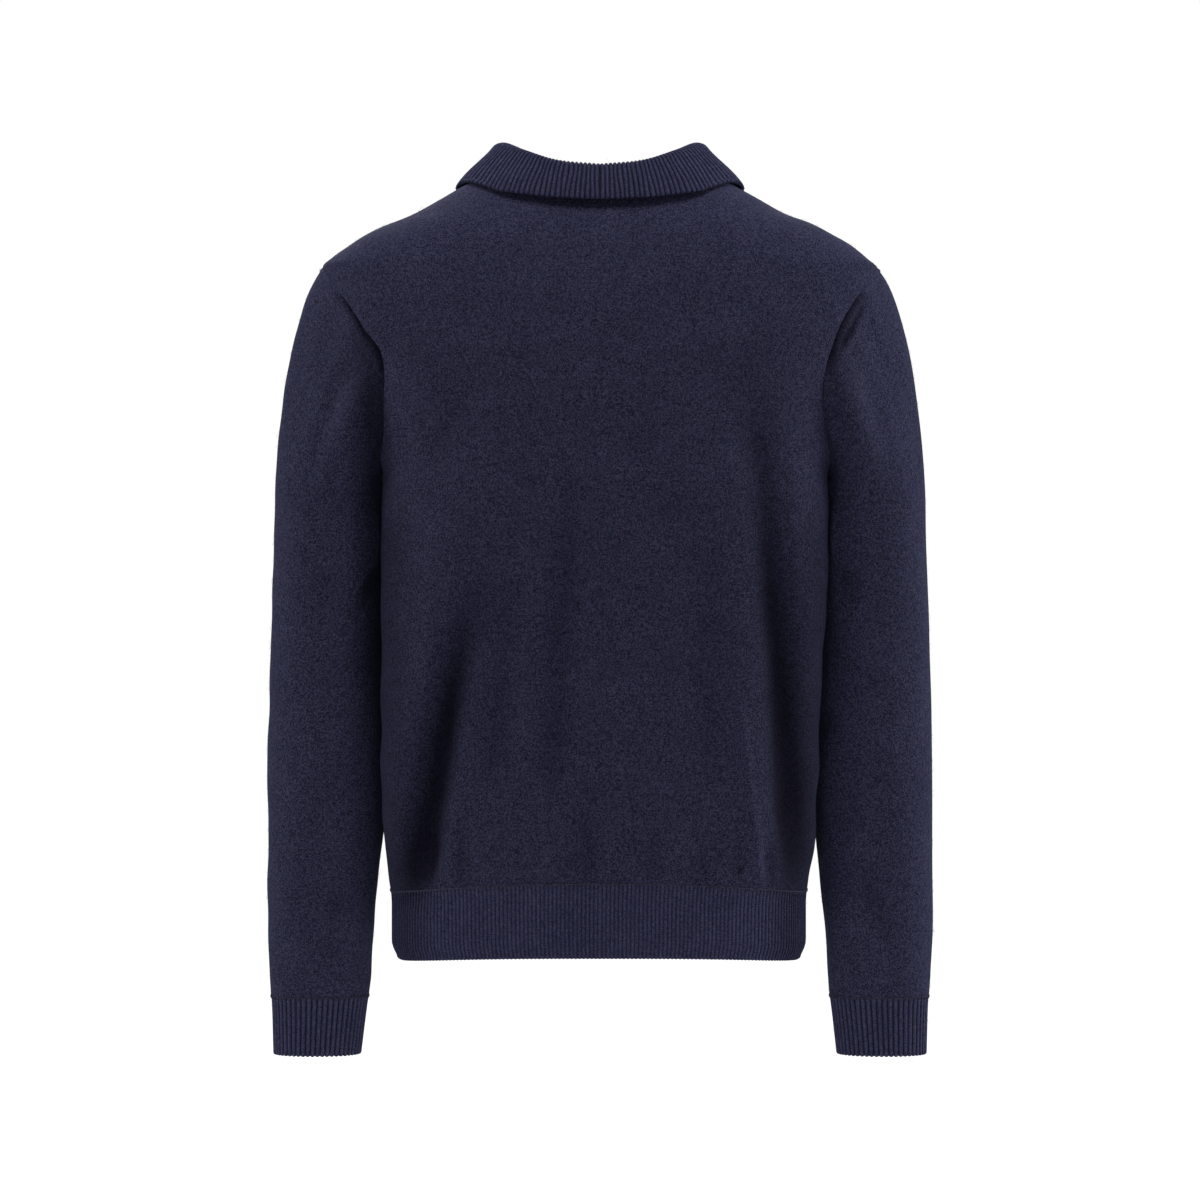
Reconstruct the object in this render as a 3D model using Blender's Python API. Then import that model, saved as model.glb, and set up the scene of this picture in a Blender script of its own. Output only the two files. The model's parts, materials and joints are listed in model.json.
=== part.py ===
# Polo collar cardigan, filled out as if worn, with no wearer inside.
# The felted knit body and sleeves are walls of one thickness, and the collar, cuffs,
# waistband and front bands are rib knit, raised on the side that shows.
# Metres. +X is the wearer's left, +Y the wearer's back, +Z up. The origin lies on the
# centre line, level with the two points where the shoulder seams meet the collar.

from math import cos, exp, pi, sin

import bmesh
import bpy
from mathutils import Matrix, Vector

# ---------------------------------------------------------------- driving sizes

cloth = 0.0025            # felted body knit
rib_cloth = 0.0022        # rib knit, measured in a groove
seam_gap = 0.0003         # between two pieces that are sewn together
edge_gap = 0.000165       # taken off each of the two edges at a seam
shoulder_tip = 0.2365     # half the width across the shoulder points
neck_half = 0.087         # half the width between the shoulder-neck points
back_neck_drop = 0.025
front_neck_drop = 0.075
shoulder_tip_z = -0.080
underarm_z = -0.265
armhole_back = 0.080      # how far the armhole reaches back and forward
armhole_front = 0.078
hem_z = -0.6705           # lower edge of the waistband at the centre back
hem_sag = 0.006           # how much lower it is at the sides
waist_seam_z = -0.6072    # upper edge of the waistband at the centre back
waist_seam_sag = 0.0105
waist_side = 0.172        # where the waistband has come down by its whole sag
sleeve_top_z = -0.300     # where the sleeve has become a plain tube
cuff_seam_z = -0.714
cuff_end_z = -0.766

band_half = 0.016         # half the width of a front band
band_lift = rib_cloth + 0.0016   # the buttonhole band lies on the button band
collar_end_x = 0.0035     # half the gap between the collar's front ends
front_rise = (0.062, 0.022)   # the wearer's left front rises between these x
collar_relief = 0.0012    # how far the ribs stand up on each piece
cuff_relief = 0.0010
hem_relief = 0.0006
band_relief = 0.0008
hem_rib = 0.00343         # from rib to rib

button_radius = 0.009
button_height = 0.0032
button_count = 7
first_button_z = -0.096
last_button_z = -0.645

navy = (0.0165, 0.0175, 0.038, 1.0)
navy_rib = (0.020, 0.021, 0.043, 1.0)
navy_button = (0.012, 0.013, 0.022, 1.0)


def table(names, *rows):
    """A table with named columns, as a dict of lists."""
    return {name: [row[i] for row in rows] for i, name in enumerate(names.split())}


# The body at each height: half widths on the wearer's left and right, depths to the
# back and front, how square the section is, and how far each arm presses the side in.
torso = table(
    "z        left    right   back    front   square  dent_l  dent_r",
    (-0.6765, 0.1785, 0.1765, 0.1060, 0.1060, 3.00, 0.000, 0.000),
    (-0.6300, 0.1785, 0.1765, 0.1085, 0.1085, 2.95, 0.000, 0.000),
    (-0.6100, 0.1815, 0.1795, 0.1110, 0.1110, 2.95, 0.010, 0.010),
    (-0.5800, 0.1865, 0.1865, 0.1150, 0.1140, 2.95, 0.030, 0.035),
    (-0.5400, 0.1905, 0.1890, 0.1160, 0.1150, 3.00, 0.050, 0.050),
    (-0.4500, 0.1920, 0.1940, 0.1150, 0.1150, 3.00, 0.075, 0.075),
    (-0.3500, 0.1920, 0.2000, 0.1170, 0.1180, 3.00, 0.078, 0.092),
    (-0.3000, 0.1920, 0.2010, 0.1190, 0.1195, 2.90, 0.060, 0.075),
    (-0.2650, 0.1890, 0.1990, 0.1200, 0.1200, 2.75, 0.020, 0.030),
    (-0.2400, 0.1965, 0.2050, 0.1210, 0.1195, 2.60, 0.008, 0.010),
    (-0.2000, 0.2120, 0.2180, 0.1220, 0.1160, 2.50, 0.000, 0.000),
    (-0.1630, 0.2190, 0.2300, 0.1205, 0.1105, 2.50, 0.000, 0.000),
    (-0.1400, 0.2325, 0.2350, 0.1170, 0.1050, 2.50, 0.000, 0.000),
    (-0.1070, 0.2362, 0.2365, 0.1105, 0.0950, 2.50, 0.000, 0.000),
    (-0.0800, 0.2365, 0.2365, 0.1020, 0.0825, 2.50, 0.000, 0.000),
    (-0.0715, 0.2245, 0.2245, 0.0985, 0.0785, 2.50, 0.000, 0.000),
    (-0.0645, 0.2140, 0.2140, 0.0950, 0.0750, 2.50, 0.000, 0.000),
    (-0.0500, 0.1860, 0.1860, 0.0860, 0.0660, 2.50, 0.000, 0.000),
    (-0.0400, 0.1620, 0.1620, 0.0780, 0.0590, 2.50, 0.000, 0.000),
    (-0.0300, 0.1410, 0.1410, 0.0690, 0.0520, 2.50, 0.000, 0.000),
    (-0.0200, 0.1235, 0.1235, 0.0580, 0.0440, 2.50, 0.000, 0.000),
    (-0.0100, 0.1055, 0.1055, 0.0450, 0.0340, 2.50, 0.000, 0.000),
    (0.0000, 0.0870, 0.0870, 0.0300, 0.0220, 2.50, 0.000, 0.000),
)
dent_y = -0.015           # the arms hang a little forward
dent_span = 0.045

# Troughs in the body cloth, each along a curve through three points. A negative depth
# is a ridge, and runs_out says that the trough goes on into the waistband.
folds = table(
    "face     x_top   z_top   x_mid   z_mid   x_low   z_low   width  depth   runs_out",
    ("back", 0.100, -0.310, 0.127, -0.450, 0.152, -0.600, 0.0150, 0.0085, 0),
    ("back", -0.128, -0.220, -0.147, -0.420, -0.165, -0.600, 0.0150, 0.0090, 0),
    ("back", 0.120, -0.400, 0.164, -0.480, 0.170, -0.600, 0.0120, -0.0030, 0),
    ("back", -0.150, -0.330, -0.174, -0.470, -0.178, -0.600, 0.0110, -0.0025, 0),
    ("back", 0.022, -0.240, 0.035, -0.430, 0.042, -0.560, 0.0140, 0.0022, 0),
    ("back", 0.012, -0.520, 0.011, -0.570, 0.012, -0.640, 0.0130, 0.0025, 1),
    ("front", 0.115, -0.330, 0.132, -0.460, 0.148, -0.600, 0.0150, 0.0070, 0),
    ("front", -0.110, -0.360, -0.126, -0.480, -0.140, -0.610, 0.0150, 0.0065, 0),
    ("front", 0.070, -0.480, 0.078, -0.560, 0.084, -0.640, 0.0140, 0.0030, 1),
    ("front", -0.060, -0.450, -0.070, -0.540, -0.074, -0.640, 0.0140, 0.0030, 1),
)

# The sleeve below the armhole: its inner edge on each side, then its outer edge, back
# and front.
sleeve = table(
    "z        inner_l inner_r outer   back    front",
    (-0.3000, 0.1845, 0.1900, 0.2803, 0.0500, -0.0720),
    (-0.3700, 0.1820, 0.1865, 0.2830, 0.0440, -0.0730),
    (-0.4500, 0.1820, 0.1840, 0.2855, 0.0380, -0.0730),
    (-0.5300, 0.1840, 0.1840, 0.2872, 0.0310, -0.0740),
    (-0.5800, 0.1885, 0.1875, 0.2876, 0.0250, -0.0745),
    (-0.6100, 0.1925, 0.1910, 0.2877, 0.0190, -0.0750),
    (-0.6600, 0.1965, 0.1955, 0.2878, 0.0090, -0.0755),
    (-0.7140, 0.2010, 0.1995, 0.2862, -0.0030, -0.0760),
    (-0.7200, 0.2020, 0.2005, 0.2855, -0.0050, -0.0755),
    (-0.7660, 0.2080, 0.2060, 0.2845, -0.0130, -0.0750),
)
sleeve_square = 2.2

# The collar from the centre back to the centre front: the crest of its fold, and the
# free edge of the part that is turned down.
collar = table(
    "along  fold_x  fold_y   fold_z   edge_x  edge_y   edge_z",
    (0.00, 0.0000, 0.0610, -0.0026, 0.0000, 0.0850, -0.0350),
    (0.15, 0.0370, 0.0560, 0.0015, 0.0440, 0.0800, -0.0325),
    (0.30, 0.0660, 0.0370, 0.0125, 0.0880, 0.0590, -0.0255),
    (0.44, 0.0855, 0.0020, 0.0215, 0.1205, 0.0040, -0.0165),
    (0.60, 0.0745, -0.0350, 0.0090, 0.1180, -0.0500, -0.0380),
    (0.80, 0.0455, -0.0660, -0.0290, 0.0860, -0.0870, -0.0830),
    (1.00, 0.0045, -0.0830, -0.0560, 0.0400, -0.1040, -0.1220),
)
collar_cloth = 0.0022
fold_gap = 0.0080         # between the stand and the turned-down part, at the fold
collar_clear = 0.0014     # between the collar and the cloth it lies on
sleeve_clear = 0.0025     # between a sleeve and the body's side

# Stations across half the body, as shares of its half width, and rows up it. The outer
# ones crowd to the side seam below the armhole, and are even beside the armhole.
inner_stations = (0.0, 0.10, 0.20, 0.28, 0.34)
outer_stations = table(
    "below   armhole",
    (0.5000, 0.460),
    (0.6000, 0.540),
    (0.6700, 0.610),
    (0.7300, 0.680),
    (0.7900, 0.740),
    (0.8500, 0.800),
    (0.9100, 0.850),
    (0.9550, 0.895),
    (0.9850, 0.935),
    (0.9965, 0.970),
    (1.0000, 1.000),
)
neck_station = neck_half / shoulder_tip
front_inner_share = (0.0, 0.32, 0.62, 0.84, 0.955)
top_row_pull = 1.3        # draws the upper rows together, where the shoulder rounds
rows_below_underarm = 8
rows_in_armhole = 9
sleeve_cap_rows = 6
sleeve_tube_rows = 9
band_ribs = 9
band_rows = 9
cuff_ribs = 52
collar_columns = 140      # along half the collar
columns_per_rib = 2
path_samples = 720        # points that a path is measured by


# ------------------------------------------------------------- curves and lookup


def slopes(xs, ys):
    """Slopes that keep a curve through the points from overshooting them."""
    steps = [(y1 - y0) / (x1 - x0) for x0, x1, y0, y1 in zip(xs, xs[1:], ys, ys[1:])]
    inside = [0.0 if a * b <= 0 else 2 * a * b / (a + b) for a, b in zip(steps, steps[1:])]
    return [steps[0]] + inside + [steps[-1]]


def smooth(xs, ys, x):
    """The value at x of a smooth curve through the points, held level past its ends."""
    if x <= xs[0]:
        return ys[0]
    if x >= xs[-1]:
        return ys[-1]
    i = min(max(k for k, start in enumerate(xs) if start <= x), len(xs) - 2)
    width = xs[i + 1] - xs[i]
    t = (x - xs[i]) / width
    m = slopes(xs, ys)
    return (
        ys[i] * (1 + 2 * t) * (1 - t) ** 2
        + m[i] * width * t * (1 - t) ** 2
        + ys[i + 1] * t * t * (3 - 2 * t)
        + m[i + 1] * width * t * t * (t - 1)
    )


torso_cache = {}


def torso_at(column, z):
    """A column of the torso table at a height."""
    key = (column, round(z, 7))
    if key not in torso_cache:
        torso_cache[key] = smooth(torso["z"], torso[column], z)
    return torso_cache[key]


def sleeve_at(column, z):
    """A column of the sleeve table at a height. Its rows run downwards."""
    return smooth(sleeve["z"][::-1], sleeve[column][::-1], z)


def ease(t):
    """0 to 1 with level ends, held past them."""
    t = min(1.0, max(0.0, t))
    return t * t * (3 - 2 * t)


def mix(a, b, t):
    return a + (b - a) * t


# -------------------------------------------------------------------- body form


def half_width(x, z):
    """The body's half width at z, on the side where x lies."""
    return torso_at("left" if x >= 0 else "right", z)


def pressed_in(x, y, z):
    """Share of x that is left where the arm presses on the body's side."""
    dent = torso_at("dent_l" if x >= 0 else "dent_r", z)
    return 1 - dent * exp(-(((y - dent_y) / dent_span) ** 2))


def form_point(x, z, face):
    """A point of the body form, before its folds. x is taken before the dent."""
    square = torso_at("square", z)
    share = min(1.0, abs(x) / half_width(x, z))
    y = torso_at(face, z) * (1 - share**square) ** (1 / square)
    y = y if face == "back" else -y
    return Vector((x * pressed_in(x, y, z), y, z))


def side_point(side, z):
    """A point of the side seam or shoulder line, where the two faces meet."""
    half = torso_at("left" if side > 0 else "right", z)
    return Vector((side * half * pressed_in(side, 0.0, z), 0.0, z))


def side_normal(side, z):
    """Outward normal where the two faces meet, square to the seam."""
    step = 0.002
    up = side_point(side, z + step) - side_point(side, z - step)
    return Vector((side * up.z, 0.0, -side * up.x)).normalized()


def form_normal(x, z, face):
    """Outward normal of the body form, between its seams."""
    room = half_width(x, z) - abs(x)
    side = 1 if x >= 0 else -1
    if room < 2e-4:
        return side_normal(side, z)
    reach = min(0.0015, room * 0.4)
    across = form_point(x + reach, z, face) - form_point(x - reach, z, face)
    rise = form_point(x, z + 0.001, face) - form_point(x, z - 0.001, face)
    normal = across.cross(rise).normalized()
    point = form_point(x, z, face)
    outward = Vector((point.x / torso_at("left", z) ** 2, point.y / torso_at(face, z) ** 2, 0.0))
    return -normal if normal.dot(outward) < 0 else normal


def fold_depth(x, z, face):
    """How far the folds move the cloth outwards at x and z. Troughs are negative."""
    total = 0.0
    for i, where in enumerate(folds["face"]):
        top, low = folds["z_top"][i], folds["z_low"][i]
        if where != face or not low <= z <= top:
            continue
        heights = [low, folds["z_mid"][i], top]
        path = [folds["x_low"][i], folds["x_mid"][i], folds["x_top"][i]]
        off = (x - smooth(heights, path, z)) / folds["width"][i]
        share = (z - low) / (top - low)
        start = 0.45 if folds["runs_out"][i] else 0.16
        fade = ease((1 - share) / 0.55) * ease(share / start)
        total -= folds["depth"][i] * fade * exp(-off * off)
    return total * ease((half_width(x, z) - abs(x)) / 0.012)


def front_lift(x):
    """The wearer's left front rises near the centre, to lie over the right one."""
    start, end = front_rise
    return band_lift * ease((start - x) / (start - end)) if x > 0 else 0.0


def body_point(x, z, face, lift=0.0):
    """(outer point, outward normal) of the body cloth."""
    normal = form_normal(x, z, face)
    return form_point(x, z, face) + normal * (fold_depth(x, z, face) + lift), normal


# -------------------------------------------------------------- panel boundaries


def seam_z(x):
    """Height of the waistband seam, a little lower towards the sides."""
    return waist_seam_z - waist_seam_sag * min(1.0, abs(x) / waist_side) ** 2.4


def hem_at(x):
    """Height of the waistband's lower edge."""
    return hem_z - hem_sag * min(1.0, abs(x) / waist_side) ** 3


def shoulder_z(x):
    """Height of the shoulder line at x, from the torso table read the other way."""
    first = torso["z"].index(shoulder_tip_z)
    return smooth(torso["left"][first:][::-1], torso["z"][first:][::-1], abs(x))


def top_z(x, face):
    """Upper edge of a panel: the shoulder line, then the neckline."""
    if abs(x) >= neck_half - 1e-9:
        return shoulder_z(x)
    if face == "back":
        return -back_neck_drop * (1 - (abs(x) / neck_half) ** 2.2)
    return -front_neck_drop * (1 - (abs(x) / neck_half) ** 2.5)


def armhole_y(z, face):
    """How far back or forward the armhole seam lies at a height."""
    middle = (shoulder_tip_z + underarm_z) / 2
    tall = (shoulder_tip_z - underarm_z) / 2
    share = min(1.0, abs((z - middle) / tall))
    reach = armhole_back if face == "back" else armhole_front
    return reach * (1 - share * share) ** 0.5


def side_x(z, side, face):
    """Unsigned x of a panel's side edge before the dent: side seam, then armhole."""
    half = torso_at("left" if side > 0 else "right", z)
    if z <= underarm_z:
        return half
    square = torso_at("square", z)
    deep = min(1.0, armhole_y(z, face) / torso_at(face, z))
    return half * (1 - deep**square) ** (1 / square)


def row_heights():
    """Heights of the rows along a side edge, closer where the armhole turns."""
    low = seam_z(shoulder_tip)
    rows = [mix(low, underarm_z, i / rows_below_underarm) for i in range(rows_below_underarm)]
    middle = (shoulder_tip_z + underarm_z) / 2
    tall = (shoulder_tip_z - underarm_z) / 2
    turns = [middle - tall * cos(pi * i / rows_in_armhole) for i in range(rows_in_armhole + 1)]
    turns[0], turns[-1] = underarm_z, shoulder_tip_z
    return rows + turns


def panel_point(station, side, side_z, face, x_start):
    """(outer point, thickness direction) at a station of a panel's row. A station is a
    share of the way across below the armhole, and one beside it."""
    beside = ease((side_z - underarm_z) / 0.050)
    station = mix(station[0], station[1], beside)
    low, high = seam_z(shoulder_tip), shoulder_tip_z
    share = (side_z - low) / (high - low)
    x_low = mix(x_start, torso_at("left" if side > 0 else "right", low), station)
    x_high = mix(x_start, shoulder_tip, station)
    if station == 1.0 and side_z >= underarm_z:
        point, direction, across = armhole_seam(side)[(round(side_z, 7), face)]
        return point - across * edge_gap, direction
    if station == 1.0:
        return side_point(side, side_z), side_normal(side, side_z)
    if side_z == shoulder_tip_z and x_high >= neck_half - 1e-9:
        z = shoulder_z(x_high)
        return Vector((side * x_high, 0.0, z)), side_normal(side, z)
    x = mix(x_start, side_x(side_z, side, face), station)
    upright = ease((share - 0.7) / 0.25) * (1 - ease((station - neck_station) / 0.4))
    x = side * mix(x, x_high, upright)
    pull = mix(top_row_pull, 1.0, ease((station - 0.6) / 0.4))
    share = 1 - (1 - share) ** pull
    z = mix(seam_z(x_low), top_z(x_high, face), share)
    lift = front_lift(x) if face == "front" else 0.0
    return body_point(x, z, face, lift)


def armhole_ring(side):
    """Where the armhole seam runs: the shoulder point, down the back, up the front."""
    heights = row_heights()[rows_below_underarm:]
    ring = [(z, "back") for z in reversed(heights)]
    return ring + [(z, "front") for z in heights[1:-1]]


def sleeve_leaves(side, turn):
    """Direction in which the sleeve's cloth leaves the armhole seam."""
    out = 0.62 - 0.13 * cos(turn) + 0.16 * sin(turn) ** 2
    return Vector((side * out, 0.0, -((1 - out * out) ** 0.5)))


armhole_cache = {}


def armhole_seam(side):
    """At each point of the armhole seam: the point, the direction of the cloth's
    thickness there, and the direction across the seam from body to sleeve."""
    if side in armhole_cache:
        return armhole_cache[side]
    ring = armhole_ring(side)
    points, normals = [], []
    for z, face in ring:
        if z in (underarm_z, shoulder_tip_z):
            points.append(side_point(side, z))
            normals.append(side_normal(side, z + 0.005 * (z == shoulder_tip_z)))
        else:
            x = side * side_x(z, side, face)
            points.append(form_point(x, z, face))
            normals.append(form_normal(x, z, face))
    seam = {}
    for k, (z, face) in enumerate(ring):
        along = (points[(k + 1) % len(ring)] - points[k - 1]).normalized()
        body = normals[k].cross(along).normalized() * side
        leaves = sleeve_leaves(side, 2 * pi * k / len(ring))
        leaves = (leaves - along * leaves.dot(along)).normalized()
        across = (leaves - body).normalized()
        direction = along.cross(across).normalized()
        if direction.dot(normals[k]) < 0:
            direction = -direction
        seam[(round(z, 7), face)] = (points[k], direction, across)
        if z in (underarm_z, shoulder_tip_z):
            seam[(round(z, 7), "front")] = (points[k], direction, across)
    armhole_cache[side] = seam
    return seam


# ---------------------------------------------------------------- solids and looks


def material(name, colour, roughness):
    made = bpy.data.materials.new(name)
    made.use_nodes = True
    shader = made.node_tree.nodes["Principled BSDF"]
    shader.inputs["Base Color"].default_value = colour
    shader.inputs["Roughness"].default_value = roughness
    shader.inputs["Metallic"].default_value = 0.0
    return made


def add_object(name, mesh, look):
    made = bpy.data.objects.new(name, mesh)
    mesh.materials.append(look)
    bpy.context.scene.collection.objects.link(made)
    return made


def neighbours(row, closed):
    return list(zip(row, row[1:] + row[:1])) if closed else list(zip(row, row[1:]))


def rim_faces(bm, a, b, far, near):
    """Two triangles across a rim, cut the same way on both sides of a seam: from the
    lower point of the outer skin to the higher one of the inner skin."""
    if a.co.z <= b.co.z:
        bm.faces.new((a, b, far))
        bm.faces.new((a, far, near))
    else:
        bm.faces.new((a, b, near))
        bm.faces.new((b, far, near))


def close_rim(bm, fine, coarse, closed):
    """Faces between an edge of the outer skin and the same edge of the inner one."""
    fine_pairs, coarse_pairs = neighbours(fine, closed), neighbours(coarse, closed)
    per = len(fine_pairs) // len(coarse_pairs)
    for k, (near, far) in enumerate(coarse_pairs):
        group = fine_pairs[k * per : (k + 1) * per]
        if per == 1:
            rim_faces(bm, *group[0], far, near)
            continue
        half = per // 2
        for a, b in group[:half]:
            bm.faces.new((a, b, near))
        bm.faces.new((group[half][0], far, near))
        for a, b in group[half:]:
            bm.faces.new((a, b, far))


def cloth_wall(name, outer, inner, look, closed=False):
    """A closed solid between two skins of rows of points. The skins have as many rows
    as each other, and the outer one may have several columns for each inner one."""
    bm = bmesh.new()
    skins = [[[bm.verts.new(p) for p in row] for row in skin] for skin in (outer, inner)]
    for skin in skins:
        for low, high in zip(skin, skin[1:]):
            for (a, b), (c, d) in zip(neighbours(low, closed), neighbours(high, closed)):
                bm.faces.new((a, b, d, c))
    for end in (0, -1):
        close_rim(bm, skins[0][end], skins[1][end], closed)
    if not closed:
        for end in (0, -1):
            edge = [(o[end], i[end]) for o, i in zip(*skins)]
            for (o0, i0), (o1, i1) in zip(edge, edge[1:]):
                rim_faces(bm, o0, o1, i1, i0)
    bmesh.ops.recalc_face_normals(bm, faces=bm.faces)
    mesh = bpy.data.meshes.new(name)
    bm.to_mesh(mesh)
    bm.free()
    mesh.shade_smooth()
    mesh.set_sharp_from_angle(angle=0.9)
    return add_object(name, mesh, look)


def grid_normals(rows, closed, outward=None):
    """A normal for each point of a grid, on the side that outward(point) points to, or
    else always on the same side of the grid."""
    made = []
    for r, row in enumerate(rows):
        above, below = rows[min(r + 1, len(rows) - 1)], rows[max(r - 1, 0)]
        line = []
        for c, point in enumerate(row):
            if closed:
                ahead, behind = row[(c + 1) % len(row)], row[c - 1]
            else:
                ahead, behind = row[min(c + 1, len(row) - 1)], row[max(c - 1, 0)]
            normal = (ahead - behind).cross(above[c] - below[c]).normalized()
            turned = outward and normal.dot(outward(point)) < 0
            line.append(-normal if turned else normal)
        made.append(line)
    return made


def rib_wall(name, rows, relief, thick, inner_step, outward, look, closed=False):
    """A rib-knit wall: each odd column of the rows is a crest, and the inside is plain."""
    normals = grid_normals(rows, closed, outward)
    outer, inner = [], []
    for row, normal_row in zip(rows, normals):
        raised = [p + n * (relief * (c % 2)) for c, (p, n) in enumerate(zip(row, normal_row))]
        outer.append(raised)
        pairs = list(zip(row, normal_row))[::inner_step]
        inner.append([p - n * thick for p, n in pairs])
    return cloth_wall(name, outer, inner, look, closed)


# ------------------------------------------------------------------ body panels


def pull_back_edges(outer, inner):
    """Half a seam gap off the edges of a panel, so that joined pieces just clear. The
    armhole has its own gap already."""
    last_row, last_column = len(outer) - 1, len(outer[0]) - 1
    moves = []
    for r, row in enumerate(outer):
        for c, point in enumerate(row):
            move = Vector()
            if c in (0, last_column) and (r <= rows_below_underarm or abs(point.x) < neck_half):
                move += (row[1 if c == 0 else -2] - point).normalized() * edge_gap
            if r == 0:
                move += Vector((0.0, 0.0, edge_gap))
            if r == last_row:
                move += (outer[-2][c] - point).normalized() * edge_gap
            moves.append((r, c, move))
    for r, c, move in moves:
        outer[r][c] = outer[r][c] + move
        inner[r][c] = inner[r][c] + move


def panel(name, stations, face, look):
    """A body panel. Each station is (side, share of the way out, x it starts from)."""
    outer, inner = [], []
    for side_z in row_heights():
        row = [panel_point(share, side, side_z, face, start) for side, share, start in stations]
        outer.append([point for point, normal in row])
        inner.append([point - normal * cloth for point, normal in row])
    pull_back_edges(outer, inner)
    return cloth_wall(name, outer, inner, look)


def back_stations():
    half = [(share, share) for share in (*inner_stations, neck_station)]
    half += zip(outer_stations["below"], outer_stations["armhole"])
    right = [(-1, share, 0.0) for share in reversed(half[1:])]
    return right + [(1, share, 0.0) for share in half]


def front_stations(side):
    """Stations of one front. On the shoulder they match the back's."""
    span = shoulder_tip - band_half
    at_neck = (neck_half - band_half) / span
    shares = [(share * at_neck, share * at_neck) for share in front_inner_share]
    shares.append((at_neck, at_neck))
    for pair in zip(outer_stations["below"], outer_stations["armhole"]):
        shares.append(tuple(1 - (1 - share) * shoulder_tip / span for share in pair))
    return [(side, share, band_half) for share in shares]


# --------------------------------------------------------------- sleeves and cuffs


def reach_outside(point):
    """Signed distance from the body form, positive outside, and its direction."""

    def level(p):
        square = torso_at("square", p.z)
        x = abs(p.x) / half_width(p.x, p.z) / pressed_in(p.x, p.y, p.z)
        y = abs(p.y) / torso_at("back" if p.y > 0 else "front", p.z)
        return (x**square + y**square) ** (1 / square) - 1

    step = 1e-4
    units = [Vector((step, 0, 0)), Vector((0, step, 0)), Vector((0, 0, step))]
    slope = Vector([(level(point + u) - level(point - u)) / (2 * step) for u in units])
    return level(point) / slope.length, slope.normalized()


def clear_of_body(point, side, wanted):
    """The point moved sideways until it is that far from the body's side."""
    if point.z < seam_z(shoulder_tip):
        return point
    for again in range(8):
        distance, direction = reach_outside(point)
        short = wanted - distance
        if short <= 1e-5:
            break
        point = point + Vector((side * min(short * 1.1, 0.004), 0.0, 0.0))
    return point


def sleeve_section(side, z, turn):
    """A point round the sleeve at a height. Turn 0 is its outer side, then the back."""
    inner = sleeve_at("inner_l" if side > 0 else "inner_r", z)
    outer = sleeve_at("outer", z)
    back, front = sleeve_at("back", z), sleeve_at("front", z)
    power = 2 / sleeve_square
    across = abs(cos(turn)) ** power * (1 if cos(turn) >= 0 else -1)
    along = abs(sin(turn)) ** power * (1 if sin(turn) >= 0 else -1)
    x = (inner + outer) / 2 + across * (outer - inner) / 2
    return Vector((side * x, (back + front) / 2 + along * (back - front) / 2, z))


def sleeve_rows(side):
    """Rings of the sleeve from the armhole to the cuff seam, and where each one starts."""
    seam = armhole_seam(side)
    ring = [seam[(round(z, 7), face)] for z, face in armhole_ring(side)]
    count = len(ring)
    rows = []
    for r in range(sleeve_cap_rows):
        t = r / sleeve_cap_rows
        row = []
        for k, (start, direction, across) in enumerate(ring):
            turn = 2 * pi * k / count
            start = start + across * edge_gap
            end = sleeve_section(side, sleeve_top_z, turn)
            reach = (end - start).length
            leave = sleeve_leaves(side, turn) * reach * (0.96 - 0.19 * cos(turn))
            arrive = Vector((0.0, 0.0, -reach * 0.9))
            point = start * ((1 + 2 * t) * (1 - t) ** 2) + leave * (t * (1 - t) ** 2)
            point += end * (t * t * (3 - 2 * t)) + arrive * (t * t * (t - 1))
            if r > 0:
                point = clear_of_body(point, side, min(sleeve_clear, t * reach * 0.5))
            row.append(point)
        rows.append(row)
    for r in range(sleeve_tube_rows + 1):
        z = mix(sleeve_top_z, cuff_seam_z, r / sleeve_tube_rows)
        section = [sleeve_section(side, z, 2 * pi * k / count) for k in range(count)]
        rows.append([clear_of_body(point, side, sleeve_clear) for point in section])
    return rows, [direction for start, direction, across in ring]


def sleeve_axis(side, z):
    inner = sleeve_at("inner_l" if side > 0 else "inner_r", z)
    middle_y = (sleeve_at("back", z) + sleeve_at("front", z)) / 2
    return Vector((side * (inner + sleeve_at("outer", z)) / 2, middle_y, z))


def build_sleeve(name, side, look):
    rows, directions = sleeve_rows(side)

    def outward(point):
        drop = Vector((0.0, 0.0, 0.5 * max(0.0, point.z - sleeve_top_z)))
        return point - sleeve_axis(side, point.z) + drop

    normals = grid_normals(rows, True, outward)
    normals[0] = directions
    inner = [[p - n * cloth for p, n in zip(*pair)] for pair in zip(rows, normals)]
    return cloth_wall(name, rows, inner, look, closed=True)


def build_cuff(name, side, look):
    columns = cuff_ribs * columns_per_rib
    rows = []
    for z in (cuff_seam_z - seam_gap, cuff_end_z):
        turns = even_turns(lambda turn: sleeve_section(side, z, turn), 0.0, 2 * pi, columns)
        rows.append([sleeve_section(side, z, turn) for turn in turns])
    rows = [[p - (p - sleeve_axis(side, p.z)).normalized() * cuff_relief for p in row] for row in rows]
    look_out = lambda point: point - sleeve_axis(side, point.z)
    return rib_wall(name, rows, cuff_relief, rib_cloth, 4, look_out, look, closed=True)


def even_turns(place, start, end, count, open_path=False):
    """Turns that space points evenly along a path."""
    turns = [mix(start, end, i / path_samples) for i in range(path_samples + 1)]
    points = [place(turn) for turn in turns]
    lengths = [0.0]
    for a, b in zip(points, points[1:]):
        lengths.append(lengths[-1] + (b - a).length)
    steps = count - 1 if open_path else count
    made, i = [], 0
    for k in range(count):
        goal = lengths[-1] * k / steps
        while i < path_samples - 1 and lengths[i + 1] < goal:
            i += 1
        span = lengths[i + 1] - lengths[i]
        made.append(mix(turns[i], turns[i + 1], min(1.0, (goal - lengths[i]) / span)))
    return made


# ------------------------------------------------------------- waistband and bands


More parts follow.
